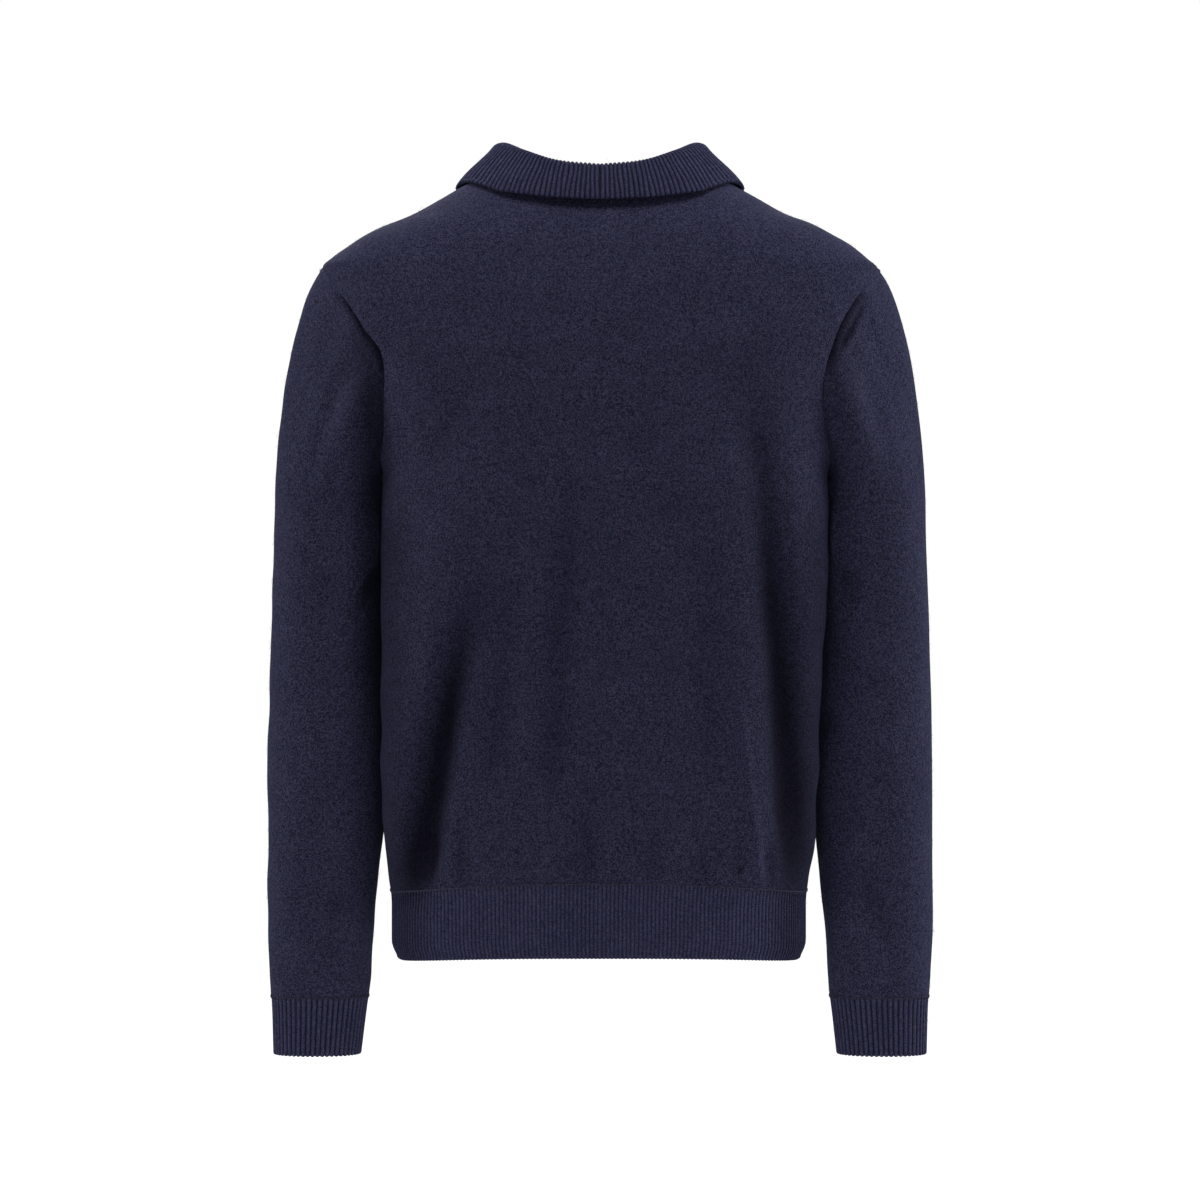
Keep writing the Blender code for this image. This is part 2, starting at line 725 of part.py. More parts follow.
def waistband_point(turn, down):
    """A point round the waistband. Turn 0 is the wearer's left side, then the back."""
    side = 1 if cos(turn) >= 0 else -1
    face = "back" if sin(turn) >= 0 else "front"
    z = seam_z(shoulder_tip)
    for guess in range(3):
        square = torso_at("square", z)
        x = side * torso_at("left" if side > 0 else "right", z) * abs(cos(turn)) ** (2 / square)
        z = mix(seam_z(x) - seam_gap, hem_at(x), down)
    y = torso_at(face, z) * abs(sin(turn)) ** (2 / torso_at("square", z))
    y = y if face == "back" else -y
    point = Vector((x * pressed_in(x, y, z), y, z))
    out = fold_depth(x, z, face)
    if face == "front" and x > 0:
        out += front_lift(x)
    half = torso_at("left" if side > 0 else "right", z)
    plan = Vector((point.x / half**2, point.y / torso_at(face, z) ** 2, 0.0)).normalized()
    return point + plan * (out - hem_relief)


def band_turn(side, down):
    """The turn at which the waistband meets a front band."""
    z = mix(seam_z(band_half), hem_z, down)
    half = torso_at("left" if side > 0 else "right", z)
    share = (band_half + seam_gap * 0.5) / half
    bend = asin_share(share ** (torso_at("square", z) / 2))
    return -pi / 2 + bend if side > 0 else 3 * pi / 2 - bend


def asin_share(share):
    """Angle whose sine is a small share."""
    low, high = 0.0, pi / 2
    for halving in range(50):
        middle = (low + high) / 2
        if sin(middle) < share:
            low = middle
        else:
            high = middle
    return (low + high) / 2


def build_waistband(look):
    around = 0.0
    for i in range(path_samples):
        a, b = 2 * pi * i / path_samples, 2 * pi * (i + 1) / path_samples
        around += (waistband_point(b, 0.5) - waistband_point(a, 0.5)).length
    ribs = round((around - 2 * band_half) / hem_rib / 4) * 4
    columns = ribs * columns_per_rib + 1
    rows = []
    for down in (0.0, 1.0):
        place = lambda turn: waistband_point(turn, down)
        turns = even_turns(place, band_turn(1, down), band_turn(-1, down), columns, True)
        rows.append([place(turn) for turn in turns])
    look_out = lambda point: Vector((point.x, point.y * 2.0, 0.0))
    return rib_wall("waistband", rows, hem_relief, rib_cloth, 8, look_out, look)


def band_surface(x, z, lift):
    """(point, normal) of a front band. It follows the body form without its folds."""
    normal = form_normal(x, z, "front")
    return form_point(x, z, "front") + normal * lift, normal


def band_shares():
    """Shares of a band's height at its rows. They crowd towards the neck."""
    hem_share = (seam_z(0.0) - hem_z) / (top_z(0.0, "front") - hem_z)
    shares = [hem_share * 0.5 * k for k in range(3)]
    for r in range(1, band_rows + 1):
        shares.append(mix(hem_share, 1.0, 1 - (1 - r / band_rows) ** 1.7))
    return shares


def build_band(name, lift, look):
    """A front band from hem to neck, with its lowest rows where the waistband is."""
    shares = band_shares()
    columns = band_ribs * columns_per_rib + 1
    reach = band_half - seam_gap * 0.5
    rows = []
    for share in shares:
        row = []
        for c in range(columns):
            x = mix(-reach, reach, c / (columns - 1))
            row.append(band_surface(x, mix(hem_z, top_z(x, "front"), share), lift)[0])
        rows.append(row)
    look_out = lambda point: Vector((0.0, -1.0, 0.0))
    return rib_wall(name, rows, band_relief, rib_cloth, 6, look_out, look)


# ------------------------------------------------------------------------ collar


def neckline(side):
    """Points along half the neckline, from the centre back to the centre front. They
    are the upper corners of the panels, so that the collar sits on their edge."""
    points = []
    for share in inner_stations:
        points.append(panel_point((share, share), side, shoulder_tip_z, "back", 0.0)[0])
    points.append(side_point(side, 0.0))
    at_neck = (neck_half - band_half) / (shoulder_tip - band_half)
    for share in reversed(front_inner_share):
        station = (share * at_neck, share * at_neck)
        points.append(panel_point(station, side, shoulder_tip_z, "front", band_half)[0])
    x = side * collar_end_x
    points.append(band_surface(x, top_z(x, "front"), front_lift(x))[0])
    return points


def along_line(points, share):
    """The point at a share of a line's length."""
    lengths = [0.0]
    for a, b in zip(points, points[1:]):
        lengths.append(lengths[-1] + (b - a).length)
    goal = share * lengths[-1]
    for i, (a, b) in enumerate(zip(points, points[1:])):
        if lengths[i + 1] >= goal - 1e-12:
            return a.lerp(b, (goal - lengths[i]) / (lengths[i + 1] - lengths[i]))
    return points[-1]


def collar_at(part, share, side):
    x, y, z = (smooth(collar["along"], collar[f"{part}_{axis}"], share) for axis in "xyz")
    return Vector((side * x, y, z))


def cover_at(point):
    """How far out the front pieces reach beyond the body form under the collar."""
    if point.y > 0:
        return 0.0
    x = point.x
    over = ease((0.066 - x) / 0.040) if x > 0 else ease((x + 0.045) / 0.024)
    return (band_lift + band_relief) * over


def laid_on_body(point):
    """The point moved out until it just clears the cloth below."""
    for again in range(6):
        distance, direction = reach_outside(point)
        short = collar_clear + cover_at(point) - distance
        if short <= 1e-5:
            break
        point = point + direction * short
    return point


def collar_section(share, side, line):
    """Points of the collar's hidden side from the neck seam over to the free edge."""
    run = along_line(line, min(1.0, share + 0.01)) - along_line(line, max(0.0, share - 0.01))
    run.normalize()
    lift = (Vector((0.0, 0.0, 1.0)) - run * run.z).normalized()
    seam = along_line(line, share) + lift * seam_gap * 1.3
    crest, edge = collar_at("fold", share, side), collar_at("edge", share, side)
    ahead = collar_at("fold", min(1.0, share + 0.02), side)
    behind = collar_at("fold", max(0.0, share - 0.02), side)
    tangent = ahead - behind
    out = Vector((tangent.y, -tangent.x, 0.0)).normalized()
    if out.dot(Vector((crest.x, crest.y, 0.0))) < 0:
        out = -out
    if share == 0.0:
        out = Vector((0.0, 1.0, 0.0))
    radius = fold_gap / 2
    centre = crest - Vector((0.0, 0.0, radius + collar_cloth + collar_relief))
    points = [seam]
    for angle in (150, 90, 30):
        bend = pi * angle / 180
        points.append(centre + (out * cos(bend) + Vector((0, 0, sin(bend)))) * radius)
    start = points[-1]
    for t in (0.35, 0.7, 1.0):
        bulge = out * 0.004 * (1 - (2 * t - 1) ** 2)
        points.append(laid_on_body(start.lerp(edge, t) + bulge))
    return points


def build_collar(look):
    shares = [k / collar_columns for k in range(collar_columns + 1)]
    sections = []
    for side in (-1, 1):
        line = neckline(side)
        made = [collar_section(share, side, line) for share in shares]
        sections.extend(made[::-1] if side < 0 else made[1:])
    hidden = [list(row) for row in zip(*sections)]
    outer, inner = [], []
    normals = grid_normals(hidden, False)
    base = hidden[0]
    for c in range(len(base)):
        run = base[min(c + 1, len(base) - 1)] - base[max(c - 1, 0)]
        flat = Vector((-run.y, run.x, 0.0)).normalized()
        normals[0][c] = flat if flat.dot(normals[0][c]) > 0 else -flat
    for row, normal_row in zip(hidden, normals):
        thick = [collar_cloth + collar_relief * (c % 2) for c in range(len(row))]
        outer.append([p + n * t for p, n, t in zip(row, normal_row, thick)])
        inner.append(row[::4])
    return cloth_wall("collar", outer, inner, look)


# ----------------------------------------------------------------------- buttons


def build_button(name, z, look):
    """A dished button that lies flat on the upper band between two of its rows."""
    heights = [mix(hem_z, top_z(0.0, "front"), share) for share in band_shares()]
    row = max(r for r, height in enumerate(heights) if height <= z)
    low, high = (band_surface(0.0, heights[r], band_lift + band_relief)[0] for r in (row, row + 1))
    normal = Vector((0.0, low.z - high.z, high.y - low.y)).normalized()
    point = low.lerp(high, (z - low.z) / (high.z - low.z)) + normal * seam_gap
    profile = ((0.85, 0.0), (1.0, 0.45), (0.88, 1.0), (0.64, 0.72))
    turns = 16
    bm = bmesh.new()
    rings = []
    for radius, height in profile:
        ring = []
        for k in range(turns):
            turn = 2 * pi * k / turns
            flat = Vector((cos(turn), sin(turn), 0.0)) * button_radius * radius
            ring.append(bm.verts.new(flat + Vector((0.0, 0.0, button_height * height))))
        rings.append(ring)
    bm.faces.new(rings[0])
    bm.faces.new(rings[-1])
    for low, high in zip(rings, rings[1:]):
        for (a, b), (c, d) in zip(neighbours(low, True), neighbours(high, True)):
            bm.faces.new((a, b, d, c))
    bmesh.ops.recalc_face_normals(bm, faces=bm.faces)
    tilt = Vector((0.0, 0.0, 1.0)).rotation_difference(normal).to_matrix().to_4x4()
    bm.transform(Matrix.Translation(point) @ tilt)
    mesh = bpy.data.meshes.new(name)
    bm.to_mesh(mesh)
    bm.free()
    mesh.shade_smooth()
    mesh.set_sharp_from_angle(angle=0.7)
    return add_object(name, mesh, look)


# ----------------------------------------------------------------------- build


def clear_scene():
    for old in list(bpy.data.objects):
        bpy.data.objects.remove(old)


def build():
    clear_scene()
    felt = material("felted_knit", navy, 0.95)
    rib = material("rib_knit", navy_rib, 0.95)
    horn = material("button_resin", navy_button, 0.45)
    panel("back_panel", back_stations(), "back", felt)
    panel("left_front", front_stations(1), "front", felt)
    panel("right_front", front_stations(-1), "front", felt)
    for name, side in (("left", 1), ("right", -1)):
        build_sleeve(f"{name}_sleeve", side, felt)
        build_cuff(f"{name}_cuff", side, rib)
    build_waistband(rib)
    build_band("button_band", 0.0, rib)
    build_band("buttonhole_band", band_lift, rib)
    build_collar(rib)
    for i in range(button_count):
        z = mix(first_button_z, last_button_z, i / (button_count - 1))
        build_button(f"button_{i + 1}", z, horn)


build()
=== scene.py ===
import json
from math import pi, radians, tau

import bmesh
import bpy
import numpy as np
from mathutils import Matrix, Vector

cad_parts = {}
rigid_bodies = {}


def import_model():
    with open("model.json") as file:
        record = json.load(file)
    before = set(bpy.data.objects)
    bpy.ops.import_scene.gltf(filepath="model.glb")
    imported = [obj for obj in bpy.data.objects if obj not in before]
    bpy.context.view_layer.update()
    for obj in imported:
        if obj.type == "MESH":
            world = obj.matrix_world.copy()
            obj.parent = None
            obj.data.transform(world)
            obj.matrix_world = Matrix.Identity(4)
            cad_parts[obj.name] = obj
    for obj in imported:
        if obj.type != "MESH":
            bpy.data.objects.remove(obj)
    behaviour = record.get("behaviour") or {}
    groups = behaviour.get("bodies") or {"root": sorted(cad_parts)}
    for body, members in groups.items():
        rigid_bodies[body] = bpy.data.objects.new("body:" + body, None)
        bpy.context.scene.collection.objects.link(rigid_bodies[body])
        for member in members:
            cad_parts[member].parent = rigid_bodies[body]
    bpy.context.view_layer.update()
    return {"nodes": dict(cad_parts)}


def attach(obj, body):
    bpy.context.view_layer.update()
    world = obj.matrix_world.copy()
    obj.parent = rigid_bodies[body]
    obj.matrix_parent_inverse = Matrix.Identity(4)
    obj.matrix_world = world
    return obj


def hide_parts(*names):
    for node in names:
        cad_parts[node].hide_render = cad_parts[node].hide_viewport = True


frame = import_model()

print("frame loaded:", len(frame["nodes"]), "nodes")

# +X is the wearer's left, +Y the wearer's back, +Z up. Lengths are in metres.


def table(names, *rows):
    return {name: np.array([row[i] for row in rows]) for i, name in enumerate(names.split())}


# The body level by level from the hem up: its reach to the wearer's left, right, back and front,
# how square its section is, and how deep the arms press its two sides in.
bodyForm = {
    "torso": table(
        "z        left    right   back    front   square  dentL  dentR",
        (-0.6765, 0.1785, 0.1765, 0.1060, 0.1060, 3.00, 0.000, 0.000),
        (-0.6300, 0.1785, 0.1765, 0.1085, 0.1085, 2.95, 0.000, 0.000),
        (-0.6100, 0.1815, 0.1795, 0.1110, 0.1110, 2.95, 0.010, 0.010),
        (-0.5800, 0.1865, 0.1865, 0.1150, 0.1140, 2.95, 0.030, 0.035),
        (-0.5400, 0.1905, 0.1890, 0.1160, 0.1150, 3.00, 0.050, 0.050),
        (-0.4500, 0.1920, 0.1940, 0.1150, 0.1150, 3.00, 0.075, 0.075),
        (-0.3500, 0.1920, 0.2000, 0.1170, 0.1180, 3.00, 0.078, 0.092),
        (-0.3000, 0.1917, 0.2010, 0.1190, 0.1195, 2.90, 0.068, 0.083),
        (-0.2650, 0.1902, 0.2003, 0.1200, 0.1200, 2.75, 0.056, 0.063),
        (-0.2400, 0.1950, 0.2048, 0.1210, 0.1195, 2.60, 0.016, 0.020),
        (-0.2000, 0.2120, 0.2180, 0.1220, 0.1160, 2.50, 0.000, 0.000),
        (-0.1630, 0.2190, 0.2300, 0.1205, 0.1105, 2.50, 0.000, 0.000),
        (-0.1400, 0.2330, 0.2350, 0.1170, 0.1050, 2.50, 0.000, 0.000),
        *(  # up by the shoulders both sides are alike
            (z, half, half, back, front, 2.50, 0.000, 0.000)
            for z, half, back, front in (
                (-0.1070, 0.2378, 0.1105, 0.0950),
                (-0.0860, 0.2380, 0.1040, 0.0850),
                (-0.0785, 0.2302, 0.1012, 0.0818),
                (-0.0715, 0.2210, 0.0985, 0.0785),
                (-0.0645, 0.2104, 0.0950, 0.0750),
                (-0.0500, 0.1828, 0.0860, 0.0660),
                (-0.0400, 0.1600, 0.0780, 0.0590),
                (-0.0300, 0.1410, 0.0690, 0.0520),
                (-0.0200, 0.1235, 0.0580, 0.0440),
                (-0.0100, 0.1055, 0.0450, 0.0340),
                (0.0000, 0.0870, 0.0300, 0.0220),
            )
        ),
    ),
    "dentY": -0.015,  # the arms press the sides in here
    "dentSpan": 0.045,
    "shoulderTip": 0.2380,
    "shoulderTipZ": -0.086,
    "neckHalf": 0.087,
    "neckDrop": {1: 0.025, -1: 0.075},  # back and front
    "neckRound": {1: 2.2, -1: 2.5},
    "underarmZ": -0.265,
    "armholeBack": 0.080,
    "armholeFront": 0.078,
    "waistSeamZ": -0.6072,
    "waistSeamSag": 0.0105,
    "waistSeamRound": 2.4,
    "hemZ": -0.6705,
    "hemSag": 0.006,
    "hemRound": 3,
    "waistSide": 0.172,
    "bandHalf": 0.016,
    "bandLift": 0.0038,
    "frontRise": (0.062, 0.022),
}

# Creases of the body cloth, face 1 at the back and -1 at the front. A negative depth is a
# ridge. start is the share of its height over which it rises from its lower end.
creases = table(
    "face xTop   zTop   xMid   zMid   xLow   zLow   width  depth   start",
    (1, 0.092, -0.312, 0.1270, -0.450, 0.158, -0.640, 0.0162, 0.0119, 0.19),
    (1, -0.123, -0.125, -0.151, -0.420, -0.165, -0.640, 0.0158, 0.0102, 0.20),
    (1, 0.120, -0.400, 0.164, -0.480, 0.170, -0.600, 0.0120, -0.0015, 0.16),
    (1, -0.114, -0.420, -0.1235, -0.520, -0.136, -0.612, 0.0044, -0.0021, 0.10),
    (1, 0.020, -0.190, 0.033, -0.400, 0.042, -0.560, 0.0130, 0.0034, 0.16),
    (1, 0.012, -0.500, 0.011, -0.560, 0.012, -0.640, 0.0100, 0.0030, 0.45),
    (1, 0.066, -0.300, 0.083, -0.440, 0.096, -0.560, 0.0120, 0.0026, 0.30),
    (1, 0.112, -0.540, 0.115, -0.580, 0.116, -0.622, 0.0060, 0.0030, 0.40),
    (1, -0.050, -0.520, -0.045, -0.575, -0.044, -0.628, 0.0070, 0.0022, 0.40),
    (1, -0.112, -0.550, -0.116, -0.590, -0.117, -0.622, 0.0060, 0.0026, 0.40),
    (1, -0.080, -0.260, -0.092, -0.420, -0.100, -0.560, 0.0170, 0.0022, 0.30),
    (1, 0.060, -0.570, 0.062, -0.592, 0.063, -0.618, 0.0050, 0.0018, 0.45),
    (1, -0.084, -0.568, -0.086, -0.590, -0.087, -0.618, 0.0050, 0.0017, 0.45),
    (1, 0.138, -0.556, 0.141, -0.585, 0.143, -0.620, 0.0050, 0.0026, 0.45),
    (1, -0.138, -0.560, -0.141, -0.588, -0.143, -0.622, 0.0050, 0.0024, 0.45),
    (1, 0.104, -0.150, 0.121, -0.215, 0.150, -0.285, 0.0150, 0.0018, 0.40),
    (1, -0.100, -0.150, -0.118, -0.210, -0.150, -0.290, 0.0150, 0.0016, 0.40),
    (-1, 0.115, -0.330, 0.132, -0.460, 0.148, -0.600, 0.0150, 0.0070, 0.16),
    (-1, -0.110, -0.360, -0.126, -0.480, -0.140, -0.610, 0.0150, 0.0065, 0.16),
    (-1, 0.070, -0.480, 0.078, -0.560, 0.084, -0.640, 0.0140, 0.0030, 0.45),
    (-1, -0.060, -0.450, -0.070, -0.540, -0.074, -0.640, 0.0140, 0.0030, 0.45),
    (-1, 0.140, -0.250, 0.150, -0.330, 0.158, -0.430, 0.0130, 0.0018, 0.30),
    (-1, -0.134, -0.260, -0.150, -0.350, -0.160, -0.450, 0.0130, 0.0016, 0.30),
)


# Value at x of a smooth curve through the points. A loose one is rounder and may pass them a little.
def curve(xs, ys, x, loose=False):
    if xs[0] > xs[-1]:
        xs, ys = xs[::-1], ys[::-1]
    steps = np.diff(ys) / np.diff(xs)
    a, b = steps[:-1], steps[1:]
    if loose:  # rounder, and may pass the points a little
        inside = (a * np.diff(xs)[1:] + b * np.diff(xs)[:-1]) / (xs[2:] - xs[:-2])
    else:
        inside = np.where(a * b > 0, 2 * a * b / np.where(a + b == 0, 1, a + b), 0)
    m = np.concatenate(([steps[0]], inside, [steps[-1]]))
    x = np.clip(x, xs[0], xs[-1])
    i = np.clip(np.searchsorted(xs, x, side="right") - 1, 0, len(xs) - 2)
    width = xs[i + 1] - xs[i]
    t = (x - xs[i]) / width
    rise = ys[i] * (1 + 2 * t) * (1 - t) ** 2 + m[i] * width * t * (1 - t) ** 2
    return rise + ys[i + 1] * t * t * (3 - 2 * t) + m[i + 1] * width * t * t * (t - 1)


def ease(t):
    t = np.clip(t, 0.0, 1.0)
    return t * t * (3 - 2 * t)


def mix(a, b, t):
    return a + (b - a) * t


def at(column, z):
    return curve(bodyForm["torso"]["z"], bodyForm["torso"][column], z)


def halfAt(x, z):
    return np.where(x >= 0, at("left", z), at("right", z))


def depthAt(y, z):
    return np.where(y >= 0, at("back", z), at("front", z))


def pressed(x, y, z):
    dent = np.where(x >= 0, at("dentL", z), at("dentR", z))
    return 1 - dent * np.exp(-(((y - bodyForm["dentY"]) / bodyForm["dentSpan"]) ** 2))


def formPoint(x, z, face):
    square = at("square", z)
    share = np.minimum(1.0, np.abs(x) / halfAt(x, z))
    y = face * depthAt(face, z) * (1 - share**square) ** (1 / square)
    return np.stack([x * pressed(x, y, z), y, z + 0 * x], -1)


def creaseDepth(x, z, face):
    total = 0.0
    for k, where in enumerate(creases["face"]):
        if where != face:
            continue
        row = {name: column[k] for name, column in creases.items()}
        heights = np.array([row["zLow"], row["zMid"], row["zTop"]])
        path = curve(heights, np.array([row["xLow"], row["xMid"], row["xTop"]]), z)
        share = (z - row["zLow"]) / (row["zTop"] - row["zLow"])
        fade = ease((1 - share) / 0.55) * ease(share / row["start"])
        total = total - row["depth"] * fade * np.exp(-(((x - path) / row["width"]) ** 2))
    return total * ease((halfAt(x, z) - np.abs(x)) / 0.012)


def frontLift(x):
    start, end = bodyForm["frontRise"]
    return np.where(x > 0, bodyForm["bandLift"] * ease((start - x) / (start - end)), 0.0)


def seamZ(x):
    share = np.minimum(1.0, np.abs(x) / bodyForm["waistSide"])
    return bodyForm["waistSeamZ"] - bodyForm["waistSeamSag"] * share ** bodyForm["waistSeamRound"]


def hemAt(x):
    share = np.minimum(1.0, np.abs(x) / bodyForm["waistSide"])
    return bodyForm["hemZ"] - bodyForm["hemSag"] * share ** bodyForm["hemRound"]


def topZ(x, face):
    first = list(bodyForm["torso"]["z"]).index(bodyForm["shoulderTipZ"])
    halves, heights = bodyForm["torso"]["left"][first:], bodyForm["torso"]["z"][first:]
    share = np.minimum(1.0, np.abs(x) / bodyForm["neckHalf"])
    neck = -bodyForm["neckDrop"][face] * (1 - share ** bodyForm["neckRound"][face])
    return np.where(share < 1 - 1e-9, neck, curve(halves, heights, np.abs(x)))


armMiddle = (bodyForm["shoulderTipZ"] + bodyForm["underarmZ"]) / 2
armTall = (bodyForm["shoulderTipZ"] - bodyForm["underarmZ"]) / 2


# Unsigned x of a panel's side edge before the dent: side seam, then armhole.
def sideX(z, side, face):
    square = at("square", z)
    share = np.minimum(1.0, np.abs((z - armMiddle) / armTall))
    reach = bodyForm["armholeBack" if face > 0 else "armholeFront"] * np.sqrt(1 - share**2)
    deep = np.where(z <= bodyForm["underarmZ"], 0.0, np.minimum(1.0, reach / depthAt(face, z)))
    return halfAt(side, z) * (1 - deep**square) ** (1 / square)


# Distance outside the body form, and its direction.
def outsideOf(points):
    def level(p):
        x, y, z = p[..., 0], p[..., 1], p[..., 2]
        square = at("square", z)
        across = np.abs(x) / halfAt(x, z) / pressed(x, y, z)
        return (across**square + (np.abs(y) / depthAt(y, z)) ** square) ** (1 / square) - 1

    step = 1e-4
    slope = np.stack([level(points + step * way) - level(points - step * way) for way in np.eye(3)], -1)
    slope /= 2 * step
    size = np.linalg.norm(slope, axis=-1)
    return level(points) / size, slope / size[..., None]


# Soft unevenness of the cloth, as a sum of waves in fixed random directions.
def ripple(points, seed, height, longest, shortest):
    rng = np.random.default_rng(seed)
    total = np.zeros(points.shape[:-1])
    for k in range(14):
        way = rng.normal(size=3)
        way *= tau / mix(longest, shortest, rng.random()) / np.linalg.norm(way)
        total += np.sin(points @ way + rng.random() * tau)
    return total * height / 14**0.5


def unit(vectors):
    return vectors / np.maximum(np.linalg.norm(vectors, axis=-1, keepdims=True), 1e-12)


def gridNormals(grid, outward, wrap=False):
    if wrap:
        along = np.roll(grid, -1, 1) - np.roll(grid, 1, 1)
    else:
        along = np.gradient(grid, axis=1)
    normals = unit(np.cross(along, np.gradient(grid, axis=0)))
    return normals if np.sum(normals * outward) >= 0 else -normals


# Length run along rows or columns of points.
def runAlong(points, axis=0):
    steps = np.linalg.norm(np.diff(points, axis=axis), axis=-1)
    zero = np.zeros_like(np.take(steps, [0], axis=axis))
    return np.concatenate([zero, np.cumsum(steps, axis=axis)], axis=axis)


# Distance of each point from the nearer end of its row or column.
def edgeDistance(grid, axis):
    run = runAlong(grid, axis)
    return np.minimum(run, np.take(run, [-1], axis=axis) - run)


# Every so many indices, and all those near both ends.
def someOf(count, step, ends=4):
    inner = list(range(ends, count - ends, step))
    return np.array(sorted({*range(ends), *inner, *range(count - ends, count)}))


# Shares along a length, even but closer at its two ends, for rounded edges.
def evenSteps(length, step, edge=0.0012):
    close = np.array([0.0, 0.15, 0.45, 1.0, 2.2]) * edge / length
    inner = np.linspace(4.0 * edge / length, 1 - 4.0 * edge / length, max(3, round(length / step)))
    return np.concatenate([close, inner, 1 - close[::-1]])


def intoScene(name, data):
    made = bpy.data.objects.new(name, data)
    bpy.context.scene.collection.objects.link(made)
    return made


def setValues(mesh, label, kind, values, domain="POINT"):
    made = mesh.attributes.new(label, kind, domain)
    made.data.foreach_set("vector" if kind == "FLOAT_VECTOR" else "value", np.ravel(values))


shellStep = 4  # the hidden inner side of the cloth has every fourth point


# A closed thin shell of cloth with rounded edges, whose outer side is the grid. edge is the
# radius of its rounding, crest a value along a row that the rib material turns into painted
# shade in the grooves and a painted highlight on the crests, and the painted shade argument
# how much shade is painted on each point, from 0 to 1: in creases, beside the sleeves and
# along the armhole.
def clothShell(
    name, grid, outward, thick, look, wrap=False, edge=None, crest=1.0, hollow=0.0, normals=None
):
    normals = gridNormals(grid, outward, wrap) if normals is None else normals
    near = edgeDistance(grid, 0)
    if not wrap:
        near = np.minimum(near, edgeDistance(grid, 1))
    r = thick / 2 if edge is None else edge
    drop = (r * (1 - np.sqrt(1 - (1 - np.clip(near / r, 0, 1)) ** 2)) * 0.94)[..., None]
    rows, columns = grid.shape[:2]
    pickRow = someOf(rows, shellStep)
    pickColumn = np.arange(0, columns, shellStep) if wrap else someOf(columns, shellStep)
    innerRows, innerColumns, base = len(pickRow), len(pickColumn), rows * columns

    def bothSides(outer, inner):
        picked = inner[np.ix_(pickRow, pickColumn)]
        return np.concatenate([outer.reshape(base, -1), picked.reshape(innerRows * innerColumns, -1)])

    def quads(rowCount, columnCount, start):
        r, c = np.meshgrid(np.arange(rowCount - 1), np.arange(columnCount - (not wrap)), indexing="ij")
        a, b = r * columnCount + c, r * columnCount + (c + 1) % columnCount
        return (start + np.stack([a, b, b + columnCount, a + columnCount], -1).reshape(-1, 4)).tolist()

    faces = quads(rows, columns, 0) + quads(innerRows, innerColumns, base)

    def bridge(fine, coarse, picks):
        for k, (a, b) in enumerate(zip(picks, picks[1:])):
            first, last = coarse[k], coarse[(k + 1) % len(coarse)]
            middle = (a + b) // 2
            for j in range(a, b):
                corner = first if j < middle else last
                faces.append((fine[j % len(fine)], fine[(j + 1) % len(fine)], corner))
            faces.append((fine[middle % len(fine)], last, first))

    index = np.arange(base).reshape(rows, columns)
    innerIndex = base + np.arange(innerRows * innerColumns).reshape(innerRows, innerColumns)
    columnPicks = list(pickColumn) + ([columns] if wrap else [])
    for end in (0, -1):
        bridge(list(index[end]), list(innerIndex[end]), columnPicks)
        if not wrap:
            bridge(list(index[:, end]), list(innerIndex[:, end]), list(pickRow))
    mesh = bpy.data.meshes.new(name)
    points = bothSides(grid - normals * drop, grid - normals * (thick - drop))
    mesh.from_pydata(points.tolist(), [], faces)
    bm = bmesh.new()
    bm.from_mesh(mesh)
    bmesh.ops.recalc_face_normals(bm, faces=bm.faces)
    bm.to_mesh(mesh)
    bm.free()
    mesh.shade_smooth()
    crest = np.broadcast_to(crest, (rows, columns))
    hollow = np.broadcast_to(hollow, (rows, columns))[..., None]
    weave = np.stack([runAlong(grid, 1), runAlong(grid, 0), crest], -1)
    setValues(mesh, "weave", "FLOAT_VECTOR", bothSides(weave, weave))
    setValues(mesh, "hollow", "FLOAT", bothSides(hollow, 0 * hollow))
    isOuter = np.arange(len(mesh.polygons)) < (rows - 1) * (columns - (not wrap))
    setValues(mesh, "outerSide", "BOOLEAN", isOuter, "FACE")
    mesh.materials.append(look)
    return intoScene(name, mesh)


woolLook = {
    "dark": (0.0060, 0.0064, 0.0170),
    "middle": (0.0190, 0.0200, 0.0440),
    "light": (0.0420, 0.0440, 0.0830),
    "tone": 1.0,
    "contrast": 1.0,
    "clump": 300.0,  # clumps of felted fibre per metre
    "grain": 790.0,
    "grainShare": 0.73,
    "broad": 26.0,
    # turn and scale of each lie of the fibres
    "fibres": (((0.4, 0.9, 0.3), 1300.0), ((1.3, -0.6, 1.1), 1250.0), ((-0.7, 0.2, 2.2), 1350.0)),
    # scale, distortion, where they start and are full, and colour of the flecks
    "flecks": (
        (620.0, 0.3, 0.665, 0.73, (0.0600, 0.0300, 0.0360)),
        (540.0, 0.6, 0.70, 0.77, (0.0640, 0.0760, 0.1200)),
    ),
    "bump": 0.55,
    "bumpDepth": 0.0012,
    "rough": 0.95,
    "sheen": 0.07,
    "sheenTint": (0.20, 0.22, 0.42),
    "paintedShadeTone": (0.165, 0.150, 0.185),  # painted shade: tone left at the bottom of a crease and where the sleeves shade the body
    "stitch": 0.0,  # height of a V stitch up a rib
}
ribLook = {**woolLook, "tone": 1.44, "contrast": 0.55, "stitch": 0.0019, "bump": 0.40}


def feed(tree, made, values):
    for name, value in values.items():
        socket = made.inputs[name]
        if isinstance(value, bpy.types.NodeSocket):
            tree.links.new(value, socket)
        else:
            socket.default_value = (*value, 1.0) if socket.type == "RGBA" and len(value) == 3 else value
    return made


def node(tree, kind, values=(), **settings):
    made = tree.nodes.new(kind)
    for name, value in settings.items():
        setattr(made, name, value)
    return feed(tree, made, dict(values))


